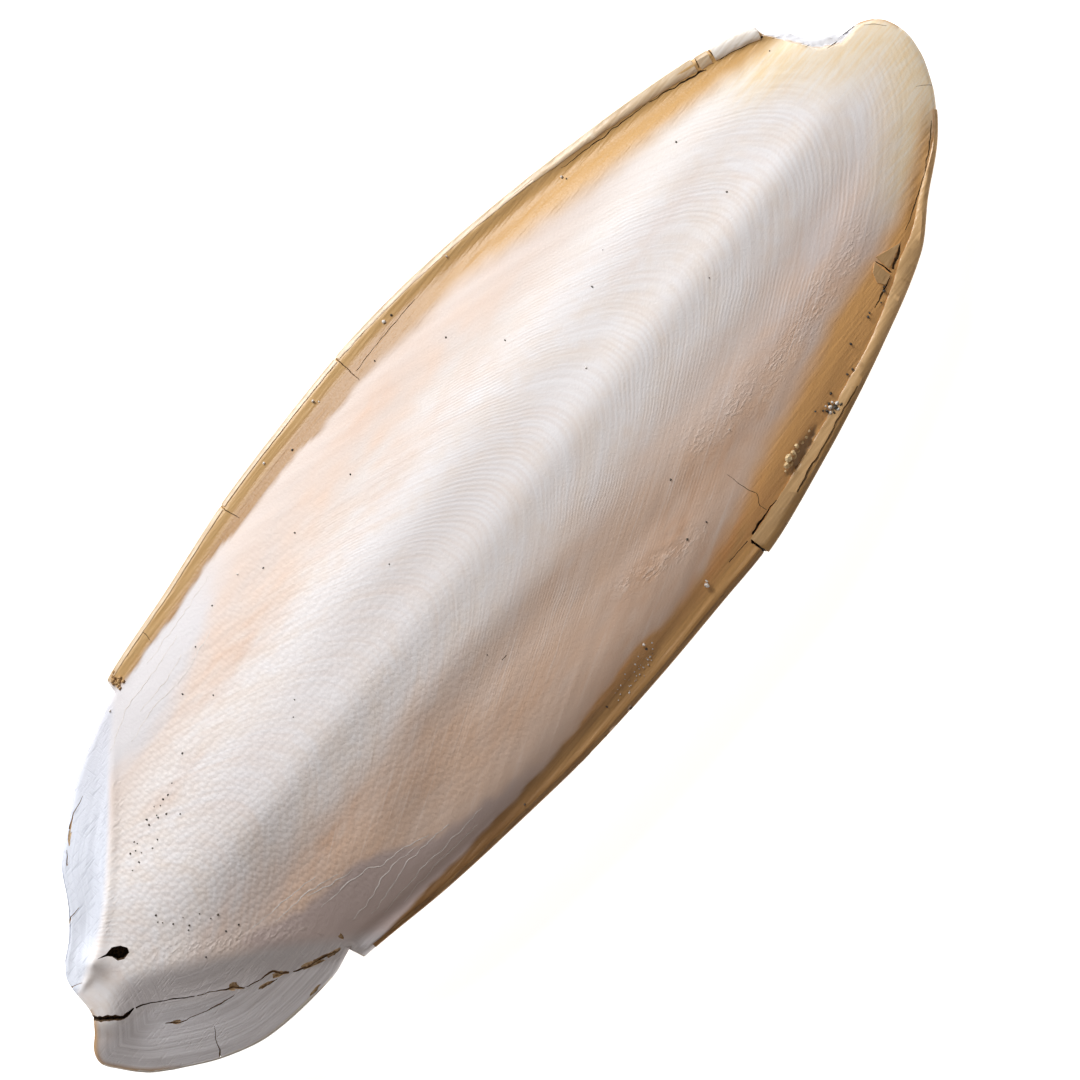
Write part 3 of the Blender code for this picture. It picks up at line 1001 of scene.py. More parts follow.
def horn_colour(tree, streak, forward, on_left):
    """Tan horn, painted shade in the left gutter, darker on the rear right, golden inwards of the lips in
    front.
    """
    across = ramp(tree, streak, 0.3, 0.7)
    to_edge = stored(tree, "to_edge")
    # painted shade in the gutter inside the left lip, fading out towards the front
    gutter = times(tree, ramp(tree, to_edge, 1.3, 2.3), ramp(tree, forward, 60.0, 15.0))
    left = colour_mix(tree, gutter, colour_mix(tree, across, *HORN_LEFT), HORN_GUTTER_SHADE)
    rear = times(tree, ramp(tree, forward, -12.0, -26.0), 0.75)
    right = colour_mix(tree, rear, colour_mix(tree, across, *HORN_RIGHT), REAR_HORN)
    gold = colour_mix(tree, on_left, GOLD_RIGHT, GOLD_LEFT)
    started = colour_mix(tree, on_left, ramp(tree, forward, -10.0, 26.0), ramp(tree, forward, 10.0, 42.0))
    golden = times(tree, started, ramp(tree, to_edge, 1.0, 2.5))
    colour = colour_mix(tree, golden, colour_mix(tree, on_left, right, left), gold)
    return layered(tree, colour, (("stain", 0.9, STAINED_HORN),))


# %% Bone material
ROUGH_CHALK = 0.62
HORN_GLOSS = 0.22
GROWTH_RISE, BEAD_RISE, RING_RISE, HORN_RISE = 0.026, -0.045, 0.02, 0.10
CHALK_RISE, SCRATCH_RISE, FOLD_RISE = 0.03, -0.03, 0.035


def scratch_pattern(tree):
    """Long scrapes and fainter marks across them, on the flanges."""
    scrape = clouds(tree, places(tree, (0.25, 4.5, 1.0), 0.75), 1.0, 3.0)
    cross = clouds(tree, places(tree, (6.0, 0.35, 1.0), 0.15), 1.0, 2.0)
    fainter = times(tree, ramp(tree, cross, 0.58, 0.72), 0.6)
    return maths(tree, "MAXIMUM", ramp(tree, scrape, 0.54, 0.7), fainter)


def bone_material():
    material, tree, shader = start_material("chalky_shell_finish", ROUGH_CHALK)
    spot = places(tree)
    forward, aside = split(tree, spot)
    on_left = ramp(tree, aside, 0.0, 4.0)
    tan, flange = stored(tree, "tan_margin"), stored(tree, "flange")
    growth, broad = growth_pattern(tree)
    beads = bead_pattern(tree, places(tree, (1.15, 0.75, 1.0), 0.12))
    fine = clouds(tree, spot, 3.2, 2.0)
    streak = clouds(tree, places(tree, (0.12, 2.2, 1.0)), 1.0, 3.0)
    slow = (times(tree, forward, 0.06), times(tree, aside, 0.06))
    rings = clouds(tree, joined(tree, times(tree, stored(tree, "to_edge"), 3.3), *slow), 1.0, 3.0)
    rings = ramp(tree, rings, 0.36, 0.64)
    folds = clouds(tree, places(tree, (1.5, 3.0, 1.0), 0.12), 1.0, 1.0)
    folds = times(tree, ramp(tree, folds, 0.46, 0.66), stored(tree, "folds"))
    scratches = scratch_pattern(tree)
    colour = plate_colour(tree, growth, broad, beads, folds, forward)
    flange_tone = flange_colour(tree, rings, scratches, forward, on_left)
    cream = colour_mix(tree, ramp(tree, streak, 0.35, 0.7), *CREAM)
    horn = horn_colour(tree, streak, forward, on_left)
    below = colour_mix(tree, ramp(tree, fine, 0.3, 0.8), *BELLY_WHITE)
    below = colour_mix(tree, times(tree, tan, 0.8), below, HORN_LEFT[1])
    colour = layered(tree, colour, (
        ("flange", 1.0, flange_tone), ("cream", 0.85, cream), ("tan_margin", 1.0, horn),
        ("scar", 1.0, CHALK), ("rim", 1.0, RIM_BROWN), ("pit", 1.0, PIT_BROWN), ("belly", 1.0, below),
    ))
    plain = maths(tree, "SUBTRACT", 1.0, maths(tree, "MAXIMUM", flange, tan))
    relief = plus(
        tree, times(tree, growth, plain, GROWTH_RISE), times(tree, beads, BEAD_RISE),
        times(tree, rings, flange, RING_RISE), times(tree, streak, tan, HORN_RISE),
        times(tree, fine, CHALK_RISE), times(tree, scratches, flange, SCRATCH_RISE),
        times(tree, folds, FOLD_RISE),
    )
    dress(tree, shader, colour, relief, MM)
    shine = maths(tree, "SUBTRACT", ROUGH_CHALK, times(tree, tan, HORN_GLOSS))
    fill(tree, shader.inputs["Roughness"], shine)
    return material


bone.data.materials.append(bone_material())
bone.data.shade_smooth()
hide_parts("cuttlebone")
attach(bone, "root")

# %% [markdown]
# ## Cracks and holes
#
# Thin cracks are finer than the cells of the mesh, so lowering its points would leave saw teeth. A wedge that
# follows each crack is swept along it instead, and one Boolean takes all the wedges out of the bone, which
# leaves sharp walls with real depth. Each path is a short table; noise makes it wander as torn shell does.

# %% Height of the finished back at single places
def surface(x, y):
    return back_level(np.atleast_1d(np.asarray(x, float)), np.atleast_1d(np.asarray(y, float)))


# %% A path that wanders between the points of a table
def wandering_path(points, step, wander, seed):
    """Evenly spaced places along a broken line, moved sideways by noise, and their sideways directions."""
    corners = np.array([point[:2] for point in points], float)
    lengths = np.hypot(*np.diff(corners, axis=0).T)
    along = np.concatenate(([0.0], np.cumsum(lengths)))
    count = max(int(along[-1] / step), 2)
    at = np.linspace(0, along[-1], count + 1)
    x = np.interp(at, along, corners[:, 0])
    y = np.interp(at, along, corners[:, 1])
    run_x, run_y = np.gradient(x), np.gradient(y)
    length = np.hypot(run_x, run_y)
    side_x, side_y = -run_y / length, run_x / length
    shift = wander * np.array([noise.noise((a / 0.9, seed, 0.5)) for a in at])
    sizes = np.interp(at, along, [point[2] for point in points])
    return x + side_x * shift, y + side_y * shift, side_x, side_y, sizes


# %% Skin rings of corners into a closed solid
def sweep_into(bm, rings):
    made = bmesh.ops.create_circle(bm, cap_ends=True, segments=len(rings[0]), radius=1)
    end = made["verts"][0].link_faces[0]
    for step, ring in enumerate(rings):
        if step:
            grown = bmesh.ops.extrude_face_region(bm, geom=[end])["geom"]
            if step > 1:
                bmesh.ops.delete(bm, geom=[end], context="FACES_ONLY")
            end = next(item for item in grown if isinstance(item, bmesh.types.BMFace))
        for vert, corner in zip(end.verts, ring):
            vert.co = Vector(corner)


def sweep_columns(bm, columns):
    """Skins long solids: each column is one corner of the profile, as its x, y and z along the path."""
    sweep_into(bm, np.stack([np.column_stack(column) for column in columns], axis=1))


def pile_up(bm, middle, x, y, layers):
    """Skins flat solids: each layer is the outline at a share of its size, with its heights."""
    rings = []
    for share, level in layers:
        ring = (mix(middle[0], x, share), mix(middle[1], y, share), level + np.zeros(len(x)))
        rings.append(np.column_stack(ring))
    sweep_into(bm, rings)


# %% Dark cracks: the depth, then places with the width of the crack there
DARK_CRACKS = (
    (0.9, (
        (-77.2, 1.2, 0.7), (-75.8, 0.1, 0.75), (-74.4, -1.6, 0.7), (-73.2, -2.7, 0.55), (-71.7, -3.0, 0.2),
    )),
    (0.5, (
        (-71.5, -3.1, 0.2), (-70.5, -3.6, 0.14), (-68.9, -4.9, 0.12), (-67.6, -6.0, 0.16),
        (-65.8, -7.7, 0.12),
    )),
    (1.3, ((19.75, -28.6, 0.45), (19.8, -26.9, 0.3), (19.7, -25.6, 0.32), (20.1, -25.2, 0.12))),
    (0.5, ((20.4, -25.05, 0.22), (22.5, -24.8, 0.25), (25.5, -24.65, 0.1))),
    (0.5, ((55.6, -15.8, 0.08), (55.75, -16.8, 0.2), (55.8, -18.2, 0.14))),
)

# %% Cracks with brown walls
BROWN_CRACKS = (
    (0.4, (
        (-65.6, -7.9, 0.08), (-63.8, -9.2, 0.12), (-62.7, -10.2, 0.25), (-61.9, -10.9, 0.4),
        (-61.2, -11.8, 0.15),
    )),
    (0.3, (
        (-61.0, -11.9, 0.1), (-59.2, -12.6, 0.15), (-57.6, -13.3, 0.3), (-57.0, -14.2, 0.3),
        (-56.4, -14.8, 0.3),
    )),
    (0.3, (
        (-56.1, -15.2, 0.15), (-54.6, -16.1, 0.25), (-53.2, -16.6, 0.35), (-51.8, -17.1, 0.25),
        (-50.9, -17.6, 0.3),
    )),
    (0.25, (
        (-70.9, -7.1, 0.08), (-70.0, -8.0, 0.3), (-69.0, -8.8, 0.12), (-66.9, -9.7, 0.08),
        (-64.4, -10.9, 0.16), (-62.8, -11.4, 0.08),
    )),
    (0.3, ((-70.1, -14.9, 0.24), (-69.3, -14.1, 0.14), (-68.6, -13.0, 0.09), (-67.4, -11.9, 0.05))),
    (0.2, ((-60.4, -13.3, 0.08), (-59.0, -13.8, 0.2), (-57.9, -14.1, 0.08))),
    (0.4, ((56.3, -18.15, 0.3), (57.6, -17.6, 0.45), (59.2, -16.9, 0.3))),
    (0.2, (
        (61.0, -16.3, 0.08), (64.7, -15.0, 0.16), (68.0, -13.7, 0.1), (71.0, -12.0, 0.2), (73.5, -10.4, 0.08),
    )),
    (0.3, ((51.2, -19.3, 0.08), (52.9, -19.0, 0.25), (55.2, -18.5, 0.2))),
    (0.3, ((40.4, 21.0, 0.05), (45.4, 19.8, 0.12), (50.4, 18.55, 0.12), (53.0, 17.85, 0.05))),
    (0.4, ((53.4, 17.75, 0.08), (57.4, 16.35, 0.2), (60.2, 15.2, 0.28), (60.9, 14.85, 0.1))),
    (0.4, ((63.0, 14.4, 0.12), (65.4, 13.5, 0.22), (68.4, 11.95, 0.2))),
)

# %% The finest cracks
FINE_CRACKS = (
    (0.3, ((-17.5, 28.2, 0.14), (-17.6, 26.5, 0.1), (-17.3, 25.2, 0.08), (-17.2, 24.5, 0.05))),
    (0.25, ((-35.5, 26.0, 0.08), (-35.4, 24.6, 0.06), (-35.7, 23.6, 0.05))),
    (0.35, ((5.2, 28.6, 0.2), (5.15, 26.5, 0.14), (4.95, 24.8, 0.1), (4.9, 23.7, 0.06))),
    (0.2, ((5.6, 24.75, 0.08), (9.0, 24.95, 0.08), (12.5, 24.9, 0.09), (16.8, 24.75, 0.07))),
    (0.5, ((61.6, 17.9, 0.22), (61.0, 16.6, 0.16), (60.6, 15.7, 0.1))),
    (0.5, ((63.3, 17.1, 0.22), (62.9, 16.0, 0.18), (62.8, 14.8, 0.14))),
    (0.2, (
        (24.0, -18.0, 0.05), (24.2, -21.1, 0.07), (24.6, -22.3, 0.1), (23.7, -23.4, 0.08),
        (23.8, -24.5, 0.08),
    )),
    (0.25, ((16.0, -25.0, 0.1), (17.8, -25.05, 0.08), (19.4, -25.15, 0.12))),
    (0.2, ((-69.2, 9.6, 0.2), (-68.0, 10.1, 0.1), (-66.4, 10.0, 0.05))),
    (0.2, ((-59.9, 17.0, 0.22), (-58.0, 17.8, 0.1), (-55.6, 18.2, 0.05))),
    (0.2, ((-63.5, 14.4, 0.16), (-62.0, 15.6, 0.05))),
    (0.12, ((75.4, -6.3, 0.03), (76.2, -6.9, 0.05), (77.2, -7.9, 0.05))),
    (0.12, ((77.3, 3.4, 0.03), (78.3, 2.5, 0.07), (79.0, 1.2, 0.03))),
    (0.2, ((-10.5, -11.0, 0.1), (-9.7, -11.1, 0.1))),
    (0.2, ((-75.9, 4.9, 0.2), (-74.4, 4.6, 0.12), (-73.2, 3.9, 0.05))),
)

# %% Chips, the hole of the spine and the sizes of the cutters
CHIPS = (
    (0.16, -62.0, -10.6, 0.75, 0.45, -40), (0.14, -57.5, -13.9, 0.9, 0.4, -35),
    (0.14, -54.0, -16.3, 1.3, 0.34, -28), (0.16, -51.3, -17.5, 0.8, 0.36, -25),
    (0.16, -49.0, -16.9, 0.38, 0.42, 10), (0.12, -59.6, -13.5, 0.9, 0.2, -20),
    (0.12, -69.9, -7.9, 0.7, 0.24, -45), (0.12, -56.3, -18.7, 0.8, 0.22, -5),
    (0.10, -60.6, 16.3, 1.1, 0.22, 32),
)
SPINE_HOLE = (
    (-69.6, 4.3), (-68.45, 3.85), (-67.4, 3.85), (-66.55, 3.15), (-66.2, 2.3), (-66.5, 1.8), (-67.55, 1.75),
    (-68.2, 2.25), (-68.25, 3.1), (-68.6, 3.6),
)
HOLE_LAYERS = ((0.65, -2.4), (0.92, -1.0), (1.0, 0.0), (1.1, 1.8))
HOLE_LEVEL_AT = (-67.3, 2.7)
CUTTER_RISE = 0.6
CRACK_STEP = 0.32
MATERIAL_DARK, MATERIAL_BROWN, MATERIAL_FINE = 0, 1, 2
CHIP_CORNERS = 13
CHIP_JAG = 0.9
print("cracks:", len(DARK_CRACKS) + len(BROWN_CRACKS) + len(FINE_CRACKS), "and chips:", len(CHIPS))


# %% The cutters, one for the cracks and the hole and one for the chips
def add_wedge(bm, depth, points, wander, seed, finish):
    before = set(bm.faces)
    x, y, side_x, side_y, width = wandering_path(points, CRACK_STEP, wander, seed)
    width = width * (1 + 0.5 * rough(x, y, 0.5, 0.5, seed))
    level = surface(x, y)
    half = width / 2 * (1 + CUTTER_RISE / depth)
    over_x, over_y, top = side_x * half, side_y * half, level + CUTTER_RISE
    left, right = (x + over_x, y + over_y, top), (x - over_x, y - over_y, top)
    sweep_columns(bm, (left, right, (x, y, level - depth)))
    for face in set(bm.faces) - before:
        face.material_index = finish


def add_hole(bm):
    """The spine has dropped out of an angular hole."""
    before = set(bm.faces)
    level = float(surface(*HOLE_LEVEL_AT)[0])
    x, y = np.array(SPINE_HOLE).T
    pile_up(bm, (x.mean(), y.mean()), x, y, [(share, level + height) for share, height in HOLE_LAYERS])
    # the hole takes the near-black crack finish: painted shade inside the hole
    for face in set(bm.faces) - before:
        face.material_index = MATERIAL_DARK


def add_chip(bm, chip, seed):
    """A shallow patch with a ragged outline, where a flake has come off."""
    depth, middle_x, middle_y, along, across, turn = chip
    angles = np.linspace(0, WHOLE_TURN, CHIP_CORNERS, endpoint=False)
    ragged = 1 + CHIP_JAG * rough(np.cos(angles), np.sin(angles), 0.8, 0.8, seed)
    long_way, cross_way = along * ragged * np.cos(angles), across * ragged * np.sin(angles)
    turn = math.radians(turn)
    x = middle_x + long_way * math.cos(turn) - cross_way * math.sin(turn)
    y = middle_y + long_way * math.sin(turn) + cross_way * math.cos(turn)
    level = surface(x, y)
    layers = ((0.85, level - depth), (1.0, level), (1.05, level + CUTTER_RISE))
    pile_up(bm, (middle_x, middle_y), x, y, layers)


cutter_mesh = bmesh.new()
for cracks, wander, first_seed, finish in (
    (DARK_CRACKS, 0.18, 1.7, MATERIAL_DARK),
    (BROWN_CRACKS, 0.22, 21.7, MATERIAL_BROWN),
    (FINE_CRACKS, 0.10, 41.3, MATERIAL_FINE),
):
    for order, (depth, points) in enumerate(cracks):
        add_wedge(cutter_mesh, depth, points, wander, first_seed + order, finish)
add_hole(cutter_mesh)
crack_cutter = closed_object("crack_cutter", cutter_mesh)
cutter_mesh = bmesh.new()
for order, chip in enumerate(CHIPS):
    add_chip(cutter_mesh, chip, 61.3 + order)
chip_cutter = closed_object("chip_cutter", cutter_mesh)


# %% Finish inside the cracks
CRACK_PATTERN = ((3.0, 4.0), (0.35, 0.65), (5.0, 4.0, 0.0002))


def crack_material(name, deep, shallow):
    return patchy_material(name, 0.9, CRACK_PATTERN, deep, shallow)


# The darkest finish is partly dirt in the cracks and partly painted shade deep in them and in the spine hole.
for cutter, name, deep, shallow in (
    (crack_cutter, "crack_dirt_and_shade", tone(40, 30, 22), tone(124, 94, 62)),
    (crack_cutter, "crack_brown", tone(110, 84, 56), tone(164, 132, 94)),
    (crack_cutter, "fine_crack", tone(126, 94, 62), tone(176, 140, 100)),
    (chip_cutter, "broken_flake", tone(158, 126, 88), tone(206, 180, 146)),
):
    cutter.data.materials.append(crack_material(name, deep, shallow))

# %% Cut, and keep the result as the bone's own mesh
SHARP_TURN = math.radians(42)


def cut_out(thing, cutter):
    modifier = thing.modifiers.new("cracks", "BOOLEAN")
    modifier.operation = "DIFFERENCE"
    modifier.material_mode = "TRANSFER"
    modifier.object = cutter
    graph = bpy.context.evaluated_depsgraph_get()
    made = bpy.data.meshes.new_from_object(thing.evaluated_get(graph))
    thing.modifiers.clear()
    thing.data = made
    bpy.data.objects.remove(cutter)
    made.set_sharp_from_angle(angle=SHARP_TURN)


cut_out(bone, chip_cutter)
cut_out(bone, crack_cutter)
paint_bone(bone.data)
print("painted:", [item.name for item in bone.data.attributes if item.data_type == "FLOAT"])
print("cut bone:", sum(len(face.vertices) - 2 for face in bone.data.polygons), "triangles")
print("materials:", [material.name for material in bone.data.materials])

# %% [markdown]
# ## The rolled lips
#
# Along both sides the horny margin is rolled up into a lip. It broke into lengths that stand a little apart,
# with dark gaps between. Each length is one profile swept along the margin, square at its broken ends.

# %% A length of lip
LIP_STEP_ALONG = 0.5
LEAST_LIP = 0.35
LIP_PROFILE = (
    (0.12, 0.0, -1.2), (-0.02, 0.0, -0.7), (-0.05, 0.0, -0.2), (0.05, 0.0, 0.5), (0.22, 0.0, 0.85),
    (0.5, 0.0, 1.0), (-0.45, 1.0, 0.95), (-0.15, 1.0, 0.8), (-0.02, 1.0, 0.35), (-0.08, 1.0, -0.5),
    (-0.35, 1.0, -1.2),
)


def add_lip(bm, side, start, stop, widths, proud, outward):
    """Sweeps a lip from start to stop; widths is a table of widths, proud its height over the margin."""
    count = max(int((stop - start) / LIP_STEP_ALONG), 3)
    x = np.linspace(start, stop, count + 1)
    edge = left_edge if side > 0 else right_edge
    y = edge(x)
    run = (edge(x + 0.4) - edge(x - 0.4)) / 0.8
    run = np.where((x < start + 0.5) | (x > stop - 0.5), np.gradient(y, x), run)
    length = np.hypot(1, run)
    in_x, in_y = side * run / length, -side / length
    width = curve(widths, x) * (1 + 0.06 * rough(x, x * 0, 1.7, 1.0, start))
    wobble = 0.04 * rough(x, x * 0, 1.1, 1.0, start + 0.5)
    columns = []
    for inset, share, rise in LIP_PROFILE:
        away = np.maximum(inset + share * width, -0.05) - outward + wobble * (rise > 0)
        away = np.where(share > 0, np.maximum(away, LEAST_LIP - outward), away)
        level = surface(x + in_x * np.maximum(away, 0.3), y + in_y * np.maximum(away, 0.3))
        height = np.where(rise > 0, proud * rise, 0.6 * rise) + wobble
        columns.append((x + in_x * away, y + in_y * away, level + height))
    sweep_columns(bm, columns)


def lip_object(name, side, lengths, widths, proud):
    bm = bmesh.new()
    for start, stop, outward in lengths:
        add_lip(bm, side, start, stop, widths, proud, outward)
    thing = closed_object(name, bm)
    thing.data.shade_smooth()
    thing.data.set_sharp_from_angle(angle=SHARP_TURN)
    return thing


# %% All lengths, as start, stop and how far they stand out
LEFT_LIPS = ((-42.8, -17.75, 0.0), (-17.35, 4.95, 0.08), (5.35, 60.6, 0.1), (61.15, 62.65, 0.02))
LEFT_STUB = ((63.15, 68.8, 0.1),)
LEFT_WIDTHS = (
    (-43, 0.52), (-18, 0.54), (5, 0.6), (20, 0.66), (34, 0.8), (42, 1.1), (56, 1.5), (62, 1.75), (69, 1.6),
)
RIGHT_LIPS = ((20.0, 75.0, 0.0),)
RIGHT_WIDTHS = (
    (20, 2.8), (27.5, 2.55), (33.5, 2.3), (40.5, 2.05), (48.5, 1.65), (55.8, 2.0), (59, 2.2), (63.5, 1.4),
    (70.5, 0.7), (76, 0.35),
)
REAR_RIGHT_LIPS = ((-47.5, 19.55, 0.0),)
REAR_RIGHT_WIDTHS = ((-48, 0.5), (-30, 0.7), (0, 0.8), (19, 0.8))

# %% Small plates of horn that have lifted off the margin
PLATES = (
    (0.22, ((53.7, -17.6), (54.3, -16.4), (55.4, -15.75), (55.5, -18.3), (54.2, -18.6))),
    (0.12, ((56.0, -15.5), (57.6, -16.1), (59.4, -16.75), (57.6, -17.25), (55.95, -17.7))),
)


def add_plate(bm, corners, rise):
    """A flat plate, raised most at its last corner."""
    x, y = np.array(corners).T
    level = surface(x, y)
    lifted = rise * np.linspace(0.4, 1.0, len(x))
    layers = ((1.0, level - 0.3), (1.0, level + 0.7 * lifted), (0.96, level + lifted))
    pile_up(bm, (x.mean(), y.mean()), x, y, layers)


bm = bmesh.new()
for rise, corners in PLATES:
    add_plate(bm, corners, rise)
plates = closed_object("margin_plates", bm)
left_lip = lip_object("left_lip", 1, LEFT_LIPS, LEFT_WIDTHS, 0.10)
lip_stub = lip_object("left_lip_stub", 1, LEFT_STUB, LEFT_WIDTHS, 0.22)
right_lip = lip_object("right_lip", -1, RIGHT_LIPS, RIGHT_WIDTHS, 0.22)
rear_lip = lip_object("rear_right_lip", -1, REAR_RIGHT_LIPS, REAR_RIGHT_WIDTHS, 0.08)
for piece in (plates, left_lip, lip_stub, right_lip, rear_lip):
    print(piece.name, len(piece.data.polygons), "faces")


# %% Horn, striped along its length by growth
HORN_SHADE = tone(146, 108, 58)


def horn_material(name, dark, light, edge, shade=0.0):
    """shade is how dark the outer edge of a lip is behind the front."""
    material, tree, shader = start_material(name, 0.34)
    spot = places(tree)
    forward = split(tree, spot)[0]
    stripes = clouds(tree, places(tree, (0.10, 1.9, 1.9)), 1.0, 3.0)
    fleck = clouds(tree, spot, 0.9, 3.0)
    colour = colour_mix(tree, ramp(tree, stripes, 0.32, 0.68), dark, light)
    colour = colour_mix(tree, times(tree, ramp(tree, fleck, 0.62, 0.75), 0.6), colour, edge)
    outer = times(tree, ramp(tree, stored(tree, "to_edge"), 1.2, 0.75), ramp(tree, forward, 54.0, 40.0))
    colour = colour_mix(tree, times(tree, outer, shade), colour, HORN_SHADE)
    dress(tree, shader, colour, plus(tree, stripes, fleck), 0.00007)
    return material


horn_light = horn_material("horn_light", tone(206, 176, 138), tone(232, 211, 182), tone(238, 224, 204))
horn_pale = horn_material("horn_pale", tone(227, 215, 201), tone(252, 247, 241), tone(212, 198, 182))
horn_dark = horn_material("horn_dark", tone(198, 159, 110), tone(220, 182, 132), tone(176, 137, 92), 0.85)
horn_olive = horn_material("horn_olive", tone(134, 97, 54), tone(165, 126, 77), tone(114, 80, 45))
finishes = (
    (left_lip, horn_light), (lip_stub, horn_pale), (right_lip, horn_dark), (rear_lip, horn_olive),
    (plates, horn_dark),
)
for piece, material in finishes:
    piece.data.materials.append(material)
    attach(piece, "root")

# %% Cracks along the right lips, cut like those of the bone
lip_crack = crack_material("lip_crack", tone(92, 68, 42), tone(140, 108, 72))
LIP_CRACKS = (
    (right_lip, 0.25, (
        (27.8, -26.0, 0.1), (30.5, -25.6, 0.2), (34.5, -24.95, 0.12), (38.0, -24.4, 0.2), (42.5, -23.7, 0.08),
    )),
    (rear_lip, 0.2, ((-18.5, -26.3, 0.08), (-14.0, -26.6, 0.16), (-10.0, -26.8, 0.18), (-5.0, -27.0, 0.08))),
)
for order, (piece, depth, points) in enumerate(LIP_CRACKS):
    cutter_mesh = bmesh.new()
    add_wedge(cutter_mesh, depth, points, 0.2, 81.3 + order, 0)
    lip_cutter = closed_object("lip_crack_cutter", cutter_mesh)
    lip_cutter.data.materials.append(lip_crack)
    cut_out(piece, lip_cutter)
    print(piece.name, "after its crack:", len(piece.data.polygons), "faces")

# %% Store on the lips how far each point is from the outline
for piece, material in finishes:
    points = read_points(piece.data) / MM
    paint(piece.data, "to_edge", distance_to_edge(points[:, 0], points[:, 1]))

# %% [markdown]
# ## Veins on the smooth sides of the tail
#
# Thin pale veins run along the smooth sides of the tail, hardly raised over them. Each is a thin flattened
# tube, half sunk into the bone, along a wandering path.

# %% Veins
VEINS = (
    ((-47.5, -12.9), (-43.5, -13.4), (-40.0, -14.2), (-38.8, -15.4), (-36.5, -15.8), (-32.5, -17.4)),
    ((-47.5, -10.8), (-44.5, -12.0), (-41.5, -12.9)),
    ((-46.5, -16.8), (-42.5, -16.8), (-40.5, -16.3), (-37.5, -16.4), (-34.5, -17.3)),
    ((-44.5, -18.2), (-40.5, -17.9), (-36.5, -17.5), (-30.0, -18.4)),
    ((-43.5, -19.2), (-36.5, -19.3), (-32.5, -19.8), (-26.0, -20.4)),
    ((-52.5, -9.6), (-47.0, -10.4), (-43.0, -11.9)),
    ((-41.0, -20.2), (-35.0, -20.4), (-28.0, -21.3)),
    ((-55.0, -7.8), (-49.5, -8.9), (-45.0, -9.9)),
    ((-49.0, 18.9), (-44.0, 20.6), (-38.0, 20.9), (-33.0, 21.4)),
    ((-46.5, 17.6), (-41.0, 18.1), (-35.5, 17.6), (-30.0, 18.6)),
    ((-43.0, 19.2), (-38.5, 19.0), (-34.5, 19.6)),
    ((-38.0, 22.2), (-32.0, 22.4), (-25.0, 23.0)),
)
VEIN_SIDES = 6
VEIN_RADIUS = 0.048
VEIN_TIP = 0.03
VEIN_WIDE, VEIN_HIGH = 1.6, 0.55
VEIN_PATTERN = ((1.5, 3.0), (0.0, 1.0), (4.0, 2.0, 0.00005))


def add_vein(bm, points, seed):
    ends = (0, len(points) - 1)
    sized = [(x, y, VEIN_TIP if index in ends else VEIN_RADIUS) for index, (x, y) in enumerate(points)]
    x, y, side_x, side_y, radius = wandering_path(sized, 0.4, 0.22, seed)
    radius = radius * (1 + 0.5 * rough(x, y, 1.0, 1.0, seed))
    level = surface(x, y) - 0.01
    columns = []
    for corner in range(VEIN_SIDES):
        angle = WHOLE_TURN * corner / VEIN_SIDES
        over = radius * VEIN_WIDE * math.cos(angle)
        columns.append((x + side_x * over, y + side_y * over, level + VEIN_HIGH * radius * math.sin(angle)))
    sweep_columns(bm, columns)


bm = bmesh.new()
for order, points in enumerate(VEINS):
    add_vein(bm, points, 71.1 + order)
veins = closed_object("side_veins", bm)
veins.data.shade_smooth()
veins.data.materials.append(
    patchy_material("vein_finish", 0.5, VEIN_PATTERN, tone(204, 195, 190), tone(230, 224, 220))
)
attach(veins, "root")

# %% [markdown]
# ## Sand, crumbs and specks
#
# Grains of sand stick to the margins, and small dark specks sit in pits on the back. A grain is a small
# icosphere whose corners are moved by a seeded random amount. Grains of one colour are one piece.

# %% Places of the grains, as x, y and size
WHITE_GRAINS = [
    (12.1, -24.6, 0.75), (12.5, -24.3, 0.4), (1.7, -23.2, 0.4), (25.2, -26.0, 0.4), (-10.2, 26.5, 0.35),
    (-0.6, 26.6, 0.5), (-0.2, 26.0, 0.3), (12.3, 26.0, 0.45), (23.3, 25.1, 0.3), (39.6, 20.3, 0.4),
    (38.4, -22.7, 0.65), (39.3, -23.0, 0.6), (37.9, -23.1, 0.5), (39.0, -22.5, 0.4), (28.4, -14.8, 0.2),
    (38.8, -23.6, 0.5), (38.1, -22.2, 0.35),
    (23.2, 3.3, 0.25), (-45.4, 22.1, 0.35), (-22.6, 20.4, 0.3),
]
DARK_GRAINS = [
    (-6.8, 24.8, 0.3), (13.5, 25.8, 0.3), (7.9, 23.8, 0.25), (39.8, 19.7, 0.3), (38.8, -23.2, 0.65),
    (38.2, -23.5, 0.5), (39.5, -23.5, 0.5), (38.6, -22.3, 0.4), (37.8, -22.7, 0.5), (36.8, -21.6, 0.3),
    (37.5, -22.3, 0.35), (39.7, -21.7, 0.4), (42.8, -21.8, 0.38), (43.7, -21.9, 0.32), (45.9, -19.8, 0.45),
    (49.8, -19.4, 0.45), (53.5, -18.9, 0.5), (52.2, -19.5, 0.3), (1.5, -23.8, 0.45), (-7.0, -24.5, 0.3),
    (-22.5, -24.2, 0.3), (53.9, -18.6, 0.35), (50.3, -19.2, 0.3),
]
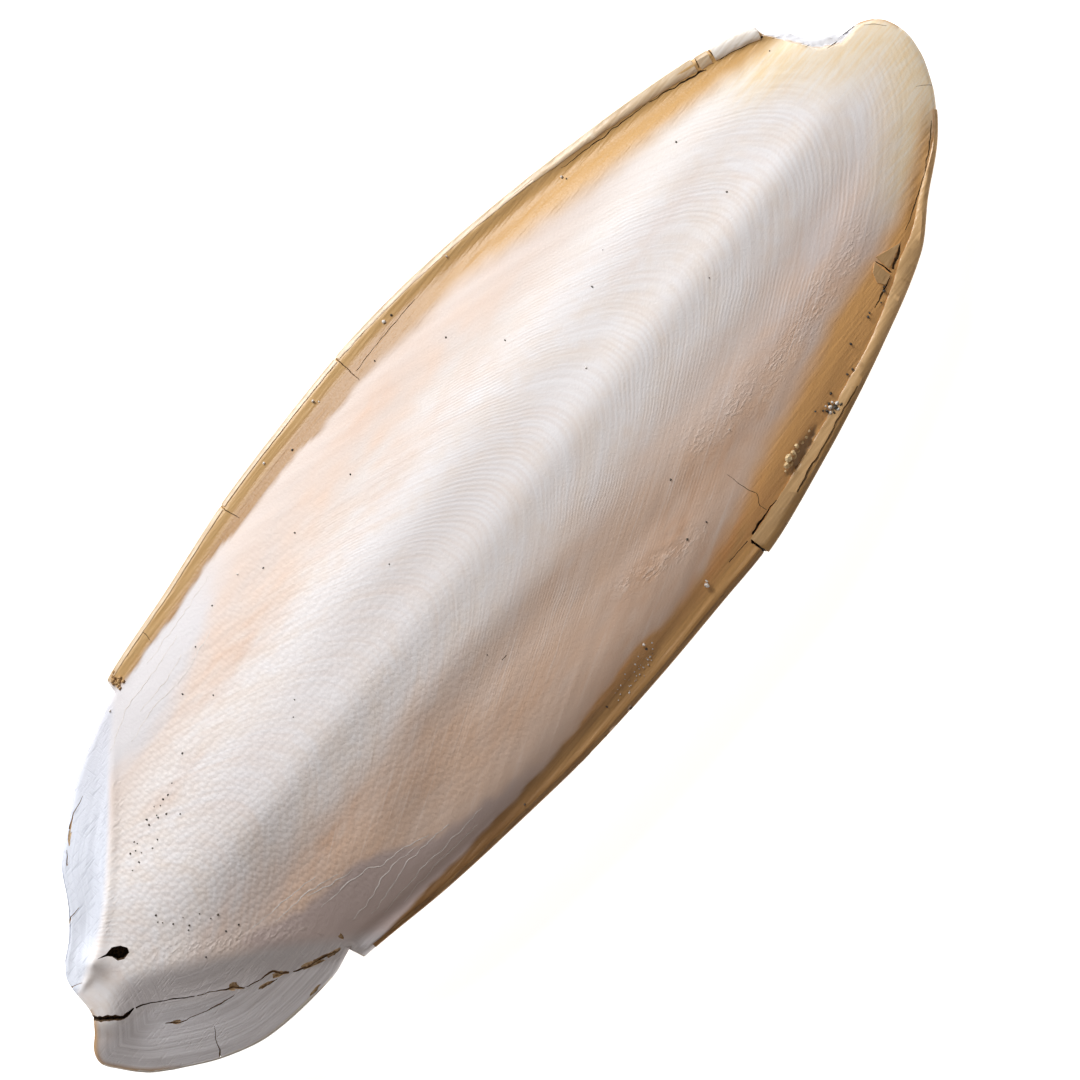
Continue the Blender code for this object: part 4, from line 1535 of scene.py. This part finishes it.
SPECKS = [
    (-58.4, 7.7), (-57.1, 7.7), (-57.0, 9.2), (-55.6, 9.7), (-55.5, 9.3), (-56.3, 8.9), (-54.7, 7.5),
    (-53.5, 7.7), (-56.0, 8.2), (-52.5, 10.2), (-52.8, 9.6), (-50.7, 10.5), (-50.1, 10.0), (-51.4, 9.3),
    (-51.3, 9.6), (-50.4, 8.8), (-49.3, 7.5), (-49.3, 10.2), (-48.5, 10.1), (-47.1, 10.6), (-61.3, 1.4),
    (-61.0, 0.9), (-60.8, 2.1), (-60.3, -0.2), (-58.9, -0.6), (-59.2, -1.8), (-59.7, -2.1), (-57.3, -1.9),
    (-56.9, -3.3), (-56.0, -3.7), (-57.0, -5.7), (-55.4, -6.4), (-61.0, -5.8), (-43.5, 11.9), (-38.0, 16.4),
    (-35.7, 13.4), (-32.6, 18.8), (-20.0, 18.4), (-14.3, 18.1), (-27.5, 20.4), (-29.8, 5.4), (-31.5, 4.2),
    (-4.6, 17.3), (19.7, 13.0), (35.6, 10.7), (31.3, 8.9), (15.5, 18.8), (19.2, -13.1), (14.9, -19.2),
    (18.0, -19.7), (50.5, 3.5), (51.5, 12.1), (67.5, 10.3), (-11.1, -9.2), (-10.0, 6.8), (41.0, -1.4),
]
RIM_DUST = (-2.0, -25.0, 3.2, 1.2, 34)
END_CRUMBS = (-42.0, 24.0, 0.7, 0.8, 46)
PIT_CRUMBS = [
    (29.5, -22.95, 0.9), (30.3, -22.5, 1.1), (31.2, -22.6, 0.9), (30.0, -23.3, 0.8), (32.1, -22.4, 0.75),
    (30.9, -23.1, 0.8), (32.9, -22.7, 0.5), (33.7, -22.7, 0.55), (34.5, -22.5, 0.4), (31.8, -23.0, 0.5),
    (28.9, -23.3, 0.5),
]


# %% Make the grains
SCATTER_LIMIT, SCATTER_SPREAD = 1.4, 0.6
GRAIN_PATTERN = ((1.3, 2.0), (0.4, 0.6), (8.0, 2.0, 0.00008))


def add_grain(bm, dice, x, y, size, sink):
    made = bmesh.ops.create_icosphere(bm, subdivisions=1, radius=size / 2)["verts"]
    level = float(surface(x, y)[0]) + size * (0.5 - sink)
    stretch = [dice.uniform(0.75, 1.2) for _ in range(3)]
    for vert in made:
        for axis in range(3):
            vert.co[axis] *= stretch[axis] * dice.uniform(0.82, 1.15)
        vert.co += Vector((x, y, level))


def scatter(dice, patch, low, high):
    middle_x, middle_y, reach_x, reach_y, count = patch
    found = []
    for _ in range(count):
        x = middle_x + reach_x * max(-SCATTER_LIMIT, min(SCATTER_LIMIT, dice.gauss(0, SCATTER_SPREAD)))
        y = middle_y + reach_y * max(-SCATTER_LIMIT, min(SCATTER_LIMIT, dice.gauss(0, SCATTER_SPREAD)))
        found.append((x, y, dice.uniform(low, high)))
    return found


def grain_object(name, grains, seed, sink, material):
    dice = random.Random(seed)
    bm = bmesh.new()
    for x, y, size in grains:
        add_grain(bm, dice, x, y, size, sink)
    thing = new_object(name, bm)
    thing.data.materials.append(material)
    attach(thing, "root")
    print(name, len(grains))
    return thing


def grain_material(name, one, other, roughness):
    return patchy_material(name, roughness, GRAIN_PATTERN, one, other)


white_sand = grain_material("white_sand", tone(236, 232, 226), tone(214, 206, 196), 0.5)
dark_sand = grain_material("dark_sand", tone(44, 42, 38), tone(84, 74, 60), 0.45)
brown_sand = grain_material("brown_sand", tone(206, 168, 116), tone(146, 108, 64), 0.7)
cream_crumb = grain_material("cream_crumb", tone(238, 214, 168), tone(216, 184, 134), 0.7)
dice = random.Random(12)
grain_object("white_grains", WHITE_GRAINS + scatter(dice, RIM_DUST, 0.1, 0.3), 1, 0.3, white_sand)
grain_object("dark_grains", DARK_GRAINS, 2, 0.3, dark_sand)
grain_object("dark_specks", [(x, y, dice.uniform(0.16, 0.34)) for x, y in SPECKS], 3, 0.55, dark_sand)
grain_object("end_crumbs", scatter(dice, END_CRUMBS, 0.2, 0.5), 4, 0.2, brown_sand)
grain_object("pit_crumbs", PIT_CRUMBS, 5, 0.62, cream_crumb)

# %% [markdown]
# ## Floor, light and camera
#
# The bone was photographed from straight above, turned so that its front points to the upper right, with one
# broad light from the upper left. A long lens keeps the outline true.

# %% Floor
FLOOR_SIZE = 1.5 / MM
FLOOR_GAP = 0.02
FLOOR_GLOW = 0.77
FLOOR_WHITE = (tone(250, 250, 250), tone(246, 246, 247))
bm = bmesh.new()
bmesh.ops.create_grid(bm, x_segments=1, y_segments=1, size=FLOOR_SIZE)
bmesh.ops.translate(bm, verts=list(bm.verts), vec=(0, 0, FLOOR - FLOOR_GAP))
floor = new_object("pale_floor", bm)
material, tree, shader = start_material("pale_floor_finish", 0.9)
shader.inputs["Emission Strength"].default_value = FLOOR_GLOW
shader.inputs["Emission Color"].default_value = (1, 1, 1, 1)
paper = clouds(tree, places(tree), 0.02, 2.0)
fill(tree, shader.inputs["Base Color"], colour_mix(tree, paper, *FLOOR_WHITE))
floor.data.materials.append(material)

# %% Lights
TURN = math.radians(51.0)
AIM = Vector((0, 0, 0.01))
AIR_GLOW = 0.05


def soft_light(name, place, size, watts, colour):
    lamp = bpy.data.lights.new(name, "AREA")
    lamp.shape = "SQUARE"
    lamp.size = size
    lamp.energy = watts
    lamp.color = colour
    thing = bpy.data.objects.new(name, lamp)
    thing.location = place
    thing.rotation_euler = (AIM - Vector(place)).to_track_quat("-Z", "Y").to_euler()
    bpy.context.scene.collection.objects.link(thing)
    print(name, watts, "W,", size, "m wide")


soft_light("key_softbox", (0.10, 0.65, 0.42), 0.40, 7.7, (1.0, 0.995, 0.995))
soft_light("warm_fill", (0.05, -0.6, 0.45), 0.6, 0.9, (1.0, 0.80, 0.64))
soft_light("overhead_fill", (-0.1, 0.0, 0.9), 0.8, 0.38, (0.97, 0.98, 1.0))
world = bpy.data.worlds.new("studio_air")
world.use_nodes = True
air = world.node_tree.nodes["Background"]
air.inputs["Color"].default_value = (0.95, 0.97, 1.0, 1)
air.inputs["Strength"].default_value = AIR_GLOW
bpy.context.scene.world = world
bpy.context.scene.view_settings.view_transform = "Standard"

# %% Camera
LENS = 150.0
SENSOR = 36.0
VIEW_WIDTH = 131.4 * MM
VIEW_MIDDLE = (3.64 * MM, -5.44 * MM)
VIEW_LEVEL = 11.5 * MM
camera_data = bpy.data.cameras.new("view_camera")
camera_data.lens = LENS
camera_data.sensor_width = SENSOR
camera = bpy.data.objects.new("view_camera", camera_data)
camera.location = (*VIEW_MIDDLE, VIEW_LEVEL + VIEW_WIDTH * LENS / SENSOR)
camera.rotation_euler = (0, 0, -TURN)
bpy.context.scene.collection.objects.link(camera)
bpy.context.scene.camera = camera
print("camera", round(camera.location.z, 3), "m over the ground")
